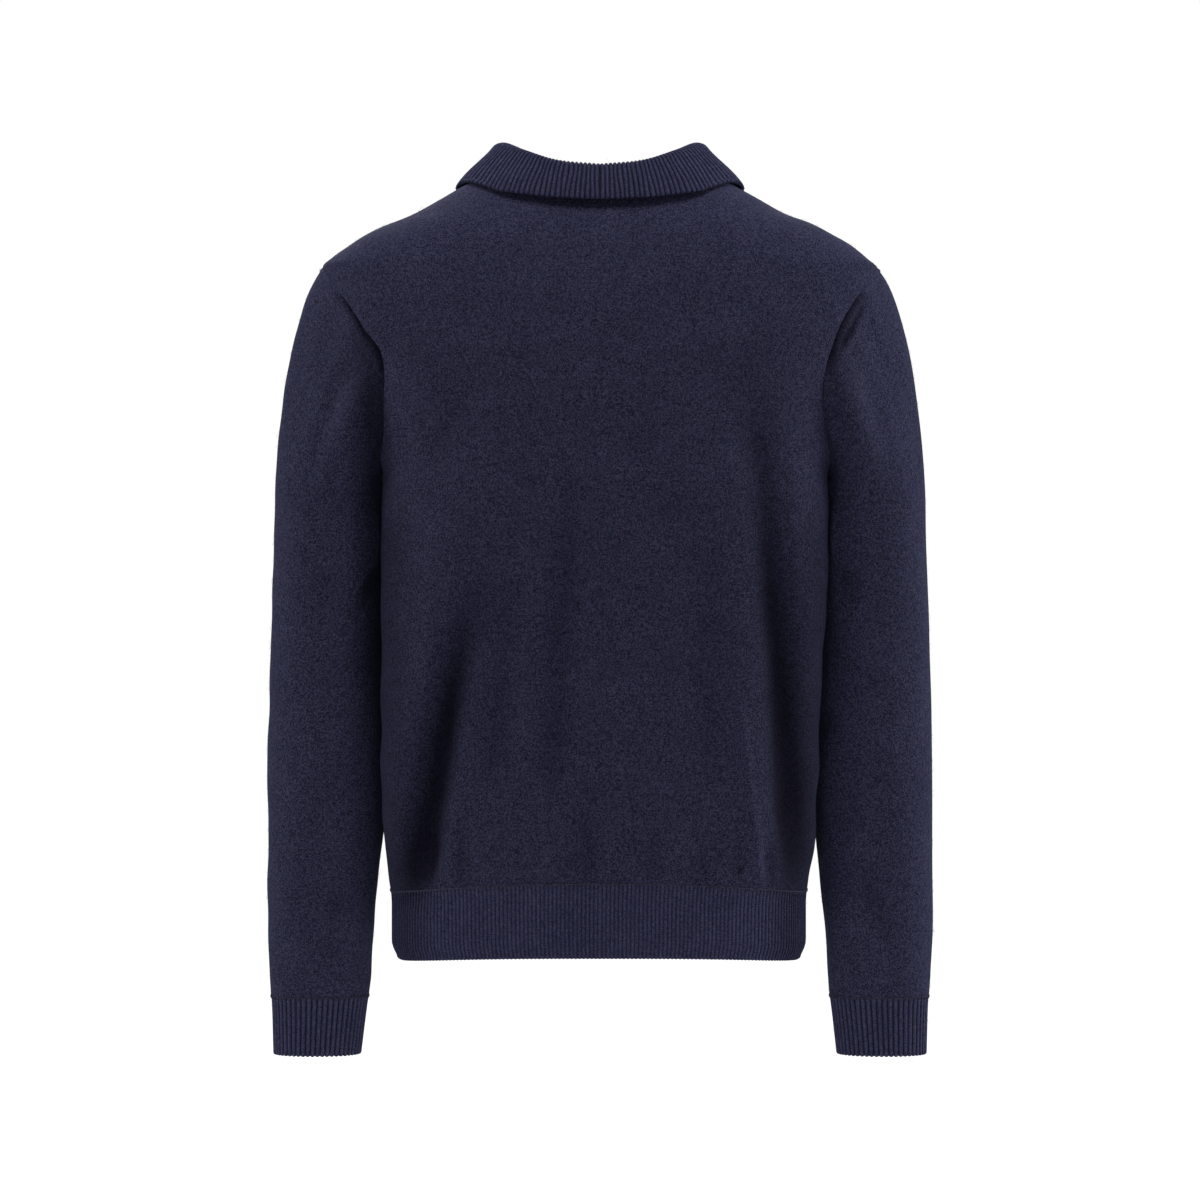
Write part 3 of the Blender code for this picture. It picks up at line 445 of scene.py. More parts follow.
def ramp(tree, factor, *stops):
    made = node(tree, "ShaderNodeValToRGB", {"Fac": factor})
    elements = made.color_ramp.elements
    while len(elements) < len(stops):
        elements.new(0.5)
    for element, (place, colour) in zip(elements, stops):
        element.position = place
        element.color = (*colour, 1.0) if hasattr(colour, "__len__") else (colour, colour, colour, 1.0)
    return made.outputs["Color"]


def math(tree, operation, a, b=0.0):
    return node(tree, "ShaderNodeMath", {0: a, 1: b}, operation=operation).outputs[0]


def plus(tree, a, b):
    return math(tree, "ADD", a, b)


def times(tree, a, b):
    return math(tree, "MULTIPLY", a, b)


def blendColour(tree, factor, a, b, how="MIX"):
    return node(tree, "ShaderNodeMix", {0: factor, 6: a, 7: b}, data_type="RGBA", blend_type=how).outputs[2]


def objectPlace(tree):
    return tree.nodes.new("ShaderNodeTexCoord").outputs["Object"]


def noise(tree, where, scale, detail=2.0, rough=0.5, distortion=0.0):
    made = node(tree, "ShaderNodeTexNoise", {"Vector": where, "Scale": scale, "Detail": detail})
    return feed(tree, made, {"Roughness": rough, "Distortion": distortion}).outputs["Fac"]


def attribute(tree, label, output):
    return node(tree, "ShaderNodeAttribute", attribute_name=label).outputs[output]


def newLook(name):
    look = bpy.data.materials.new(name)
    look.use_nodes = True
    return look, look.node_tree, look.node_tree.nodes["Principled BSDF"]


def woolMaterial(name, wool):
    look, tree, shader = newLook(name)
    place, tone = objectPlace(tree), wool["tone"]
    clump = noise(tree, place, wool["clump"], 4.0, 0.70, 0.4)
    grain = noise(tree, place, wool["grain"], 2.0, 0.6, 0.3)
    fibres = 0.0
    for turn, scale in wool["fibres"]:  # thin streaks, each lying in one rough direction
        values = {"Vector": place, "Rotation": turn, "Scale": (scale, scale * 0.13, scale)}
        turned = node(tree, "ShaderNodeMapping", values).outputs[0]
        fibres = math(tree, "MAXIMUM", noise(tree, turned, 1.0, 2.0, 0.5, 0.8), fibres)
    tones = plus(tree, times(tree, clump, 1 - wool["grainShare"]), times(tree, grain, wool["grainShare"]))
    dark, middle, light = (
        tuple(mix(m, v, wool["contrast"]) * tone for m, v in zip(wool["middle"], wool[k]))
        for k in ("dark", "middle", "light")
    )
    colour = ramp(tree, tones, (0.40, dark), (0.50, middle), (0.60, light))
    broad = noise(tree, place, wool["broad"], 3.0, 0.6)
    broadTone = ramp(tree, broad, (0.30, (0.90, 0.90, 0.92)), (0.70, (1.10, 1.09, 1.07)))
    colour = blendColour(tree, 1.0, colour, broadTone, "MULTIPLY")
    streak = ramp(tree, fibres, (0.60, 0.0), (0.74, 0.55))
    colour = blendColour(tree, streak, colour, tuple(v * 1.35 * tone for v in wool["light"]))
    for scale, distortion, begins, full, fleck in wool["flecks"]:
        spots = ramp(tree, noise(tree, place, scale, 2.0, 0.5, distortion), (begins, 0.0), (full, 0.8))
        colour = blendColour(tree, spots, colour, fleck)
    height = plus(tree, times(tree, clump, 0.7), times(tree, fibres, 0.5))
    if wool["stitch"]:
        weave = node(tree, "ShaderNodeSeparateXYZ", {"Vector": attribute(tree, "weave", "Vector")})
        wave = math(tree, "SINE", times(tree, weave.outputs["Y"], tau / wool["stitch"]))
        height = plus(tree, height, times(tree, wave, 0.16))
        # Painted shade and highlight that follow the stitches' bumps, and painted shade in the ribs'
        # grooves with a painted highlight on their crests.
        shade = plus(tree, times(tree, wave, 0.07), 1.0)
        paintedStitchShade = node(tree, "ShaderNodeCombineXYZ", {"X": shade, "Y": shade, "Z": shade})
        groove = ramp(tree, weave.outputs["Z"], (0.0, 0.15), (0.62, 0.72), (1.0, 1.15))
        colour = blendColour(tree, 1.0, colour, paintedStitchShade.outputs[0], "MULTIPLY")
        colour = blendColour(tree, 1.0, colour, groove, "MULTIPLY")
    # Painted shade: darkens the base colour by the stored shade, in creases, beside the sleeves and along
    # the armhole.
    paintedShadeTone = ramp(tree, attribute(tree, "hollow", "Fac"), (0.0, 1.0), (1.0, wool["paintedShadeTone"]))
    colour = blendColour(tree, 1.0, colour, paintedShadeTone, "MULTIPLY")
    bump = {"Height": height, "Strength": wool["bump"], "Distance": wool["bumpDepth"]}
    finish = {
        "Base Color": colour,
        "Normal": node(tree, "ShaderNodeBump", bump).outputs[0],
        "Roughness": wool["rough"],
        "Specular IOR Level": 0.05,
        "Sheen Weight": wool["sheen"],
        "Sheen Roughness": 0.5,
        "Sheen Tint": wool["sheenTint"],
    }
    feed(tree, shader, finish)
    return look


felt, rib = woolMaterial("feltedWool", woolLook), woolMaterial("ribWool", ribLook)
print("materials made")

panelCloth = {
    "thick": 0.0025,
    "columns": 112,  # across half the back
    "rowsBelow": 150,
    "rowsBeside": 96,
    "halfWide": 0.192,  # by which the columns are spaced
    "seamRound": 0.0006,
    "rippleHeight": 0.00055,
    "calmEdge": 0.020,  # the ripple fades out towards a seam
    "seamUnder": 0.0009,  # how far one edge lies under the next at a seam
    "fullShadeDepth": 0.0115,  # depth at which a crease's painted shade is darkest
    "paintedSideShade": 0.62,  # painted shade on the back beside the sleeves, and lighter over the lower back
    "backFlat": (0.585, 0.640),
    "backArea": 0.30,
    "frontFlat": (0.290, 0.640),
    "frontArea": 0.14,
}


# Shares of the way out that space points evenly round the body's section.
def stationsBelow(start):
    turn = np.linspace(0, pi / 2, 4000)
    x, y = np.sin(turn) ** (2 / 3), 0.6 * np.cos(turn) ** (2 / 3)
    run = np.concatenate([[0], np.cumsum(np.hypot(np.diff(x), np.diff(y)))])
    begin = np.interp(start, x, run)
    length = (run[-1] - begin) * panelCloth["halfWide"]
    goal = begin + (run[-1] - begin) * evenSteps(length, length / panelCloth["columns"])
    return (np.interp(goal, run, x) - start) / (1 - start)


# Grid of the cloth's outer side on one side of the body, from the waist seam up.
def panelHalf(side, face, start):
    below = stationsBelow(start / panelCloth["halfWide"])
    beside = evenSteps(0.15, 0.15 / panelCloth["columns"])
    low, high = seamZ(bodyForm["shoulderTip"]), bodyForm["shoulderTipZ"]
    rowsBelow = mix(low, bodyForm["underarmZ"], evenSteps(0.35, 0.35 / panelCloth["rowsBelow"])[:-5])
    turn = np.linspace(pi, 0, panelCloth["rowsBeside"])
    sideZ = np.concatenate([rowsBelow, armMiddle + armTall * np.cos(turn)])[:, None]
    station = mix(below[None], beside[None], ease((sideZ - bodyForm["underarmZ"]) / 0.050))
    share = (sideZ - low) / (high - low)
    xLow = mix(start, halfAt(side, low), station)
    xHigh = mix(start, bodyForm["shoulderTip"], station)
    x = mix(start, sideX(sideZ, side, face), station)
    neckStation = bodyForm["neckHalf"] / bodyForm["shoulderTip"]
    upright = ease((share - 0.7) / 0.25) * (1 - ease((station - neckStation) / 0.4))
    x = side * mix(x, xHigh, upright)
    pull = mix(1.3, 1.0, ease((station - 0.6) / 0.4))
    z = mix(seamZ(xLow), topZ(xHigh, face), 1 - (1 - share) ** pull)
    grid = formPoint(x, z, face)
    onShoulder = (share > 1 - 1e-9) & (xHigh >= bodyForm["neckHalf"] - 1e-9)
    atSide = (station > 1 - 1e-9) & (sideZ <= bodyForm["underarmZ"] + 1e-9)
    grid[..., 1] = np.where(onShoulder | atSide, 0.0, grid[..., 1])
    return grid, x, z


# Direction from the garment's middle out to each point.
def bodyAxis(grid):
    middle = np.stack([0.6 * grid[..., 0], 0 * grid[..., 0], np.minimum(grid[..., 2], -0.12)], -1)
    return grid - middle


# Painted shade for the shade that the sleeves throw on the body beside them, and a lighter
# painted shade over the whole lower back.
def sideShade(x, z):
    near = ease((np.abs(x) - halfAt(x, z) + 0.050) / 0.040)
    return panelCloth["paintedSideShade"] * mix(0.12, 1.0, near) * ease((-0.24 - z) / 0.10)


def panelGrid(face, sides, start):
    halves = [panelHalf(side, face, start) for side in sides]
    if len(halves) == 2:  # the wearer's right half first, then the left one
        halves[0] = [part[:, :0:-1] for part in halves[0]]
    grid, x, z = (np.concatenate(parts, axis=1) for parts in zip(*halves))
    normals = gridNormals(grid, bodyAxis(grid))
    creased = creaseDepth(x, z, face)
    inside = ease(np.minimum(edgeDistance(grid, 0), edgeDistance(grid, 1)) / panelCloth["calmEdge"])
    lift = frontLift(x) if face < 0 else 0.0
    out = creased + lift + ripple(grid, 11 + face, panelCloth["rippleHeight"], 0.09, 0.035) * inside
    upright = ease((z - seamZ(x)) / 0.030)[..., None]  # at the waist seam the creases go straight in
    normals = unit(normals * np.concatenate([1 + 0 * upright, 1 + 0 * upright, upright], -1))
    # Painted shade in the creases, beside the sleeves and over the lower back.
    hollow = np.clip(-creased / panelCloth["fullShadeDepth"], 0, 1) + sideShade(x, z)
    return grid + normals * np.broadcast_to(out, x.shape)[..., None], np.clip(hollow, 0, 1)


# The armhole's seam is closed at the shoulder and opens into a groove lower down.
def seamRound(z):
    return panelCloth["seamRound"] * mix(0.25, 1.0, ease((-0.10 - z) / 0.05))


def panel(name, face, sides, start=0.0):
    grid, hollow = panelGrid(face, sides, start)
    edge = seamRound(grid[..., 2])
    return clothShell(name, grid, bodyAxis(grid), panelCloth["thick"], felt, edge=edge, hollow=hollow)


bandSide = bodyForm["bandHalf"] - panelCloth["seamUnder"]
backPanel = panel("backPanel", 1, (-1, 1))
leftFront = panel("leftFront", -1, (1,), bandSide)
rightFront = panel("rightFront", -1, (-1,), bandSide)
print("body panels made")

sleeveCloth = {
    "shape": table(
        "z        innerL innerR outer   back    front",
        (-0.3000, 0.1845, 0.1900, 0.2803, 0.0500, -0.0720),
        (-0.3700, 0.1820, 0.1865, 0.2830, 0.0440, -0.0730),
        (-0.4500, 0.1820, 0.1840, 0.2855, 0.0380, -0.0730),
        (-0.5300, 0.1840, 0.1840, 0.2872, 0.0310, -0.0740),
        (-0.5800, 0.1885, 0.1875, 0.2876, 0.0250, -0.0745),
        (-0.6100, 0.1925, 0.1910, 0.2877, 0.0190, -0.0750),
        (-0.6600, 0.1965, 0.1955, 0.2878, 0.0090, -0.0755),
        (-0.7140, 0.2010, 0.1995, 0.2862, -0.0030, -0.0760),
        (-0.7200, 0.2020, 0.2005, 0.2855, -0.0050, -0.0755),
        (-0.7660, 0.2080, 0.2060, 0.2845, -0.0130, -0.0750),
    ),
    "square": 2.2,
    "topZ": -0.300,
    "cuffSeamZ": -0.714,
    "cuffEndZ": -0.766,
    "clear": 0.0025,
    "columns": 144,
    "capRows": 62,
    "tubeStep": 0.0029,
    "lean": (0.465, 0.215, 0.315),  # how far out the cloth leaves the armhole, round its turn
    "spring": (0.885, -0.305),  # how strongly it keeps that way, round the turn
    "shade": {1: (0.187, 0.034, 0.83), -1: (0.197, 0.033, 0.35)},  # x of its start, width and darkness of the painted shade beside the body
    "dip": 0.0021,  # the body's edge stands over the sleeve's along the back of the armhole
    # x and z of the lower and upper end of a crease in the sleeve, and its depth
    "armFold": {1: (0.190, -0.166, 0.216, -0.110, 0.0010), -1: (0.200, -0.166, 0.2285, -0.114, 0.0032)},
    "foldWidth": 0.0032,
    "seamShade": {1: 0.0050, -1: 0.0090},  # width of the painted shade along the back of the armhole
    "flat": (0.360, 0.660),
    "area": 0.17,
}

# Soft creases round the sleeve: turn 0 is its outer side, and a quarter is its back.
sleeveCreases = table(
    "turnTop zTop   turnLow zLow   width   depth",
    (0.42, -0.300, 0.30, -0.400, 0.0110, 0.0016),
    (0.36, -0.440, 0.46, -0.510, 0.0100, 0.0014),
    (0.60, -0.460, 0.50, -0.530, 0.0100, 0.0016),
    (0.30, -0.600, 0.22, -0.690, 0.0110, 0.0012),
    (0.70, -0.560, 0.80, -0.680, 0.0120, 0.0015),
    (0.86, -0.300, 0.78, -0.420, 0.0130, 0.0013),
)


def sleeveEdges(side, z):
    shape, inner = sleeveCloth["shape"], "innerL" if side > 0 else "innerR"
    return [curve(shape["z"], shape[name], z) for name in (inner, "outer", "back", "front")]


def sleeveSection(side, z, turn):
    inner, outer, back, front = sleeveEdges(side, z)
    power = 2 / sleeveCloth["square"]
    across = np.abs(np.cos(turn)) ** power * np.sign(np.cos(turn))
    along = np.abs(np.sin(turn)) ** power * np.sign(np.sin(turn))
    x = (inner + outer) / 2 + across * (outer - inner) / 2
    return np.stack([side * x, (back + front) / 2 + along * (back - front) / 2, z + 0 * x], -1)


# Turns that put points at the given shares of a path's length.
def evenTurns(place, start, end, shares):
    turns = np.linspace(start, end, 3000)
    run = runAlong(place(turns))
    return np.interp(shares * run[-1], run, turns)


# Direction from the sleeve's middle out to each point.
def sleeveAxis(side, grid):
    inner, outer, back, front = sleeveEdges(side, np.minimum(grid[..., 2], sleeveCloth["topZ"]))
    lower = grid[..., 2] - 0.5 * np.maximum(0, grid[..., 2] - sleeveCloth["topZ"])
    return grid - np.stack([side * ((inner + outer) / 2), (back + front) / 2, lower], -1)


# A smooth bridge of rows from one line of points to another.
def hermite(start, leave, end, arrive, shares):
    t = shares[:, None, None]
    made = start * ((1 + 2 * t) * (1 - t) ** 2) + leave * (t * (1 - t) ** 2)
    return made + end * (t * t * (3 - 2 * t)) + arrive * (t * t * (t - 1))


# The armhole's line, the way in which the sleeve leaves it, and where it lies under the back's edge.
def armhole(side, turn):
    cosT, sinT = np.cos(turn), np.sin(turn)
    z = armMiddle + armTall * cosT
    reach = np.where(sinT >= 0, bodyForm["armholeBack"], bodyForm["armholeFront"]) * np.abs(sinT)
    deep, square = np.minimum(1.0, reach / depthAt(sinT, z)), at("square", z)
    x, y = side * halfAt(side, z) * (1 - deep**square) ** (1 / square), reach * np.sign(sinT)
    start = np.stack([x * pressed(x, y, z), y, z], -1)
    base, byHeight, byDepth = sleeveCloth["lean"]
    out = base + byHeight * cosT + byDepth * sinT**2
    leaves = np.stack([side * out, 0 * out, -np.sqrt(1 - out**2)], -1)
    along, outward = unit(np.roll(start, -1, 0) - np.roll(start, 1, 0)), outsideOf(start)[1]
    smooth = unit(np.cross(along, outward))  # runs on from the body across the seam
    smooth *= np.sign(smooth[:, :1]) * side
    asBody = 0.9 * ease((cosT + 0.05) / 0.45) * ease((np.abs(sinT) - 0.1) / 0.7)
    leaves = unit(mix(leaves, smooth, asBody[:, None]))
    atBack = ease((sinT - 0.3) / 0.3) * ease((z + 0.190) / 0.03) * ease((-0.106 - z) / 0.012)
    dip = sleeveCloth["dip"] * atBack
    return start - leaves * panelCloth["seamUnder"] - outward * dip[:, None], leaves, atBack, dip


# How far the cloth is pushed in by the soft creases and the fold beside the armhole.
def sleeveCrease(side, grid, turn):
    around, total = np.broadcast_to(turn / tau, grid.shape[:2]), 0.0
    for k in range(len(sleeveCreases["zTop"])):
        row = {name: column[k] for name, column in sleeveCreases.items()}
        share = (grid[..., 2] - row["zLow"]) / (row["zTop"] - row["zLow"])
        path = mix(row["turnLow"], row["turnTop"], np.clip(share, 0, 1)) + 0.02 * side
        off = (around - path) * 0.30 / row["width"]
        total = total + row["depth"] * np.exp(-(off**2)) * ease(share / 0.4) * ease((1 - share) / 0.4)
    lowX, lowZ, highX, highZ, depth = sleeveCloth["armFold"][side]
    wide, tall = highX - lowX, highZ - lowZ
    long = np.hypot(wide, tall)
    x, z = np.abs(grid[..., 0]) - lowX, grid[..., 2] - lowZ
    onFold, offFold = (x * wide + z * tall) / long**2, (x * tall - z * wide) / long
    fold = np.exp(-((offFold / sleeveCloth["foldWidth"]) ** 2))
    fold = fold * ease(onFold / 0.3) * ease((1 - onFold) / 0.3)
    return total + depth * fold * ease(grid[..., 1] / 0.02)


# Painted shade on the side of the sleeve that faces the body's back.
def bodyShade(side, grid):
    across, deep, tall = np.abs(grid[..., 0]), grid[..., 1], grid[..., 2]
    edge, reach, dark = sleeveCloth["shade"][side]
    shade = ease((edge + reach - across) / 0.030) * ease((-0.122 - tall + (across - edge) * 0.9) / 0.026)
    shade = shade * mix(0.55, 1.0, ease((deep + 0.03) / 0.03)) * mix(0.35, 1.0, ease((tall + 0.56) / 0.16))
    return shade * mix(0.70, 1.0, ease((-0.14 - tall) / 0.08)) * dark * ease((tall + 0.64) / 0.08)


def sleeveGrid(side):
    turn = tau * np.arange(sleeveCloth["columns"]) / sleeveCloth["columns"]
    start, leaves, atBack, dip = armhole(side, turn)
    capEnd, clear = sleeveCloth["topZ"], sleeveCloth["clear"]
    end = sleeveSection(side, capEnd, turn)
    reach = np.linalg.norm(end - start, axis=-1)[:, None]
    base, byHeight = sleeveCloth["spring"]
    leave = leaves * reach * (base + byHeight * np.cos(turn))[:, None]
    steps = evenSteps(0.12, 0.12 / sleeveCloth["capRows"])[:-5]
    cap = hermite(start, leave, end, np.array([0, 0, -0.9]) * reach, steps)
    t = steps[:, None]
    capClear = np.minimum(clear, t * reach[:, 0] * 0.5) * (t > 0) - dip * (1 - ease(t / 0.10))
    long = capEnd - sleeveCloth["cuffSeamZ"]
    downTube = evenSteps(long, sleeveCloth["tubeStep"])[4:]
    tube = [sleeveSection(side, capEnd - long * t, turn) for t in downTube]
    grid = np.concatenate([cap, tube])
    wanted = np.concatenate([capClear, np.full((len(tube), len(turn)), clear)])
    soft = grid.copy()

    def softened(low, high, share=1.0):  # all but the seams at both ends
        soft[1:-1] = (grid[:-2] + 2 * grid[1:-1] + grid[2:]) / 4
        z = grid[..., 2:]
        return mix(grid, soft, ease((z - low) / 0.03) * ease((high - z) / 0.03) * share)

    for again in range(14):  # ease the join of cap and tube
        grid = softened(-0.42, -0.22)
    low = seamZ(bodyForm["shoulderTip"])
    for again in range(8):
        short = np.where(grid[..., 2] > low, np.maximum(0, wanted - outsideOf(grid)[0]), 0)
        grid[..., 0] += side * np.minimum(short * 1.1, 0.004)
    lowest = ease((-np.cos(turn) - 0.72) / 0.20)
    lying = ease((-np.cos(turn) - 0.25) / 0.45) * ease((grid[..., 2] + 0.37) / 0.05)
    lying = lying * ease((bodyForm["underarmZ"] - grid[..., 2]) / mix(0.050, 0.005, lowest))
    wanted = wanted * mix(1.0, 0.3, lying)
    for again in range(3):  # just under the armhole the sleeve lies against the body
        grid[..., 0] -= side * np.clip(outsideOf(grid)[0] - wanted, 0, 0.006) * lying
    for again in range(10):
        grid = softened(-0.40, -0.20, (1 - lowest)[:, None])
    normals = gridNormals(grid, sleeveAxis(side, grid), True)
    inside = ease(edgeDistance(grid, 0) / panelCloth["calmEdge"])
    out = ripple(grid, 31 + side, panelCloth["rippleHeight"], 0.08, 0.035) * inside
    out = out - sleeveCrease(side, grid, turn)
    # Painted shade beside the body and in the sleeve's creases, and more along the back of the armhole's
    # seam.
    hollow = bodyShade(side, grid) + np.clip((-0.0007 - out) / 0.0030, 0, 0.5)
    nearSeam = np.exp(-((edgeDistance(grid, 0) / sleeveCloth["seamShade"][side]) ** 2))
    hollow = hollow + 0.75 * atBack * nearSeam * (grid[..., 2] > capEnd)
    return grid + normals * out[..., None], np.clip(hollow, 0, 1)


cuffRib = {
    "ribs": 52,
    "perRib": 8,
    "relief": 0.0015,
    "atSeam": 0.55,  # share of the relief at the seam
    "scallop": 0.0007,
    "thick": 0.0026,
    "step": 0.0035,
    "flat": (0.225, 0.052),
}


# Height of the ribs, column by column.
def ribWave(columns, perRib):
    return np.abs(np.sin(pi * ((np.arange(columns) % perRib) / perRib)))


# A rounded crest and a narrow groove.
def ribCrest(columns, perRib):
    return ribWave(columns, perRib) ** 0.65


# Pulls the free edge in at each groove.
def scallop(grid, perRib, amount):
    way, inward = unit(grid[-1] - grid[-4]), amount * (1 - ribWave(grid.shape[1], perRib))
    for r in range(5):
        grid[-1 - r] -= way * (inward * (1 - r / 5))[:, None]
    return grid


# Ribs down a grid from its seam, and the tops of the ribs at that seam for its stitches.
def ribbed(grid, normals, cloth, down):
    crest = ribCrest(grid.shape[1], cloth["perRib"])
    lift = cloth["relief"] * (crest[None] - 1) * mix(cloth["atSeam"], 1.0, ease(down / 0.004))[:, None]
    middles = slice(cloth["perRib"] // 2, None, cloth["perRib"])
    seamLines.append((grid[0, middles], normals[0, middles]))
    return scallop(grid + normals * lift[..., None], cloth["perRib"], cloth["scallop"]), crest


def sleeve(side, name):
    grid, hollow = sleeveGrid(side)
    outward, edge = sleeveAxis(side, grid), seamRound(grid[..., 2])
    return clothShell(name, grid, outward, panelCloth["thick"], felt, True, edge, hollow=hollow)


def cuff(side, name):
    columns = cuffRib["ribs"] * cuffRib["perRib"]
    long = sleeveCloth["cuffSeamZ"] - sleeveCloth["cuffEndZ"]
    steps, under, rows = evenSteps(long, cuffRib["step"]), panelCloth["seamUnder"], []
    for t in steps:
        z = sleeveCloth["cuffSeamZ"] + under - (long + under) * t
        turns = evenTurns(lambda turn: sleeveSection(side, z, turn), 0.0, tau, np.arange(columns) / columns)
        rows.append(sleeveSection(side, z, turns))
    grid = np.array(rows)
    normals = gridNormals(grid, sleeveAxis(side, grid), True)
    grid, crest = ribbed(grid, normals, cuffRib, steps * long)
    outward = sleeveAxis(side, grid)
    return clothShell(name, grid, outward, cuffRib["thick"], rib, True, crest=crest, normals=normals)


sleeves, cuffs, seamLines = {}, {}, []
for side, name in ((1, "left"), (-1, "right")):
    sleeves[side] = sleeve(side, name + "Sleeve")
    cuffs[side] = cuff(side, name + "Cuff")
print("sleeves and cuffs made")

waistRib = {
    "pitch": 0.00343,
    "perRib": 8,
    "relief": 0.0010,
    "atSeam": 0.6,
    "scallop": 0.0006,
    "thick": 0.0026,
    "long": 0.0600,
    "step": 0.0042,
    "tuck": 0.026,  # how much the hem's corners round off
    "stretched": 0.30,  # 1 would hide the grooves' painted shade
    "flat": (0.98, 0.060),
}


def creaseOf(x, z, atBack):
    return np.where(atBack, creaseDepth(x, z, 1), creaseDepth(x, z, -1))


def waistbandPoint(turn, down):
    cosT, sinT = np.cos(turn), np.sin(turn)
    side, z = np.where(cosT >= 0, 1, -1), np.full(turn.shape, seamZ(bodyForm["shoulderTip"]))
    for again in range(3):
        x = side * halfAt(side, z) * np.abs(cosT) ** (2 / at("square", z))
        z = mix(seamZ(x) + panelCloth["seamUnder"], hemAt(x), down)
    y = np.sign(sinT) * depthAt(sinT, z) * np.abs(sinT) ** (2 / at("square", z))
    out = creaseOf(x, z, sinT >= 0) + np.where(sinT < 0, frontLift(x), 0.0)
    x = x * pressed(x, y, z) * (1 - waistRib["tuck"] * ease((down - 0.70) / 0.30) ** 2)
    plan = unit(np.stack([x / halfAt(side, z) ** 2, y / depthAt(sinT, z) ** 2, 0 * z], -1))
    return np.stack([x, y, z], -1) + plan * out[..., None]


def bandTurn(side, down):
    z = mix(seamZ(bodyForm["bandHalf"]), bodyForm["hemZ"], down)
    bend = np.arcsin((bandSide / halfAt(side, z)) ** (at("square", z) / 2))
    return -pi / 2 + bend if side > 0 else 1.5 * pi - bend


def flatOut(grid):
    return grid * np.array([1.0, 2.0, 0.0])


around = runAlong(waistbandPoint(np.linspace(0, tau, 2000), 0.5))[-1]
ribCount = round((around - 2 * bodyForm["bandHalf"]) / waistRib["pitch"])
shares = np.linspace(0, 1, ribCount * waistRib["perRib"] + 1)
steps = evenSteps(waistRib["long"], waistRib["step"])
rows = []
for down in steps:
    first, last = bandTurn(1, down), bandTurn(-1, down)
    turns = evenTurns(lambda turn: waistbandPoint(turn, down), first, last, shares)
    rows.append(waistbandPoint(turns, down))
grid = np.array(rows)
normals = gridNormals(grid, flatOut(grid))
grid, crest = ribbed(grid, normals, waistRib, steps * waistRib["long"])
creased = creaseOf(grid[..., 0], grid[..., 2], grid[..., 1] > 0)
# Painted shade in the creases and beside the sleeves, carried down into the hem's rib.
hollow = np.clip(-creased / panelCloth["fullShadeDepth"] + sideShade(grid[..., 0], grid[..., 2]), 0, 1)
crest = mix(waistRib["stretched"], 1.0, crest)
waistband = clothShell(
    "hemRib", grid, flatOut(grid), waistRib["thick"], rib, crest=crest, hollow=hollow, normals=normals
)

frontBand = {
    "ribs": 9,
    "perRib": 8,
    "relief": 0.0009,
    "thick": 0.0024,
    "long": 0.59,
    "step": 0.0035,
    "apart": 0.00015,  # from the edge that it is sewn to
    "edge": 0.0008,
    "flat": (0.032, 0.60),
}

bands = {}
for name, lift in (("buttonBand", 0.0), ("buttonholeBand", bodyForm["bandLift"])):
    columns, reach = frontBand["ribs"] * frontBand["perRib"] + 1, bodyForm["bandHalf"] - frontBand["apart"]
    x = np.linspace(-reach, reach, columns)[None]
    steps = evenSteps(frontBand["long"], frontBand["step"])[:, None]
    grid = formPoint(x, mix(bodyForm["hemZ"], topZ(x, -1), steps), -1)
    normals = gridNormals(grid, flatOut(grid))
    crest = ribCrest(columns, frontBand["perRib"])
    grid = grid + normals * (frontBand["relief"] * crest[None] + lift)[..., None]
    edge, thick = frontBand["edge"], frontBand["thick"]
    bands[name] = clothShell(name, grid, flatOut(grid), thick, rib, edge=edge, crest=crest, normals=normals)
print("waistband and front bands made:", ribCount, "ribs round the hem")

collarRib = {
    "shape": table(
        "along  foldX  foldY   foldZ   edgeX  edgeY   edgeZ",
        (0.00, 0.0000, 0.0610, -0.0026, 0.0000, 0.0800, -0.0350),
        (0.15, 0.0370, 0.0560, 0.0015, 0.0440, 0.0755, -0.0325),
        (0.30, 0.0660, 0.0370, 0.0122, 0.0880, 0.0555, -0.0255),
        (0.44, 0.0840, 0.0020, 0.0218, 0.1195, 0.0040, -0.0160),
        (0.60, 0.0745, -0.0350, 0.0090, 0.1180, -0.0500, -0.0380),
        (0.80, 0.0455, -0.0660, -0.0290, 0.0860, -0.0870, -0.0830),
        (1.00, 0.0045, -0.0830, -0.0560, 0.0400, -0.1040, -0.1220),
    ),
    "ribs": 70,  # on each half
    "perRib": 8,
    "relief": 0.0017,
    "thick": 0.0030,
    "scallop": 0.0004,
    "shade": 0.96,  # tone at a rib's crest, for the painted highlight on crests and painted shade in grooves
    "foldGap": 0.0080,
    "foldSink": 0.0034,  # from the crest of the fold down to the cloth's hidden side
    "foldArc": (152, 38, 11),  # degrees at its start and end, and rows
    "peak": (0.41, 0.10),  # share along the neck where each peak stands, and its width
    "rounder": 1.00,  # how much wider the fold is at its two peaks
    "standRows": 18,
    "fall": (0.036, 0.0016),  # length and step of the part that is turned down
    "swing": 2.0,
    "sway": 0.0006,
    "clear": 0.0014,
    "endX": 0.0035,
    "insideX": 0.08699,  # just inside the shoulder seam's end
    "flat": (0.560, 0.120),
    "area": 0.056,
}


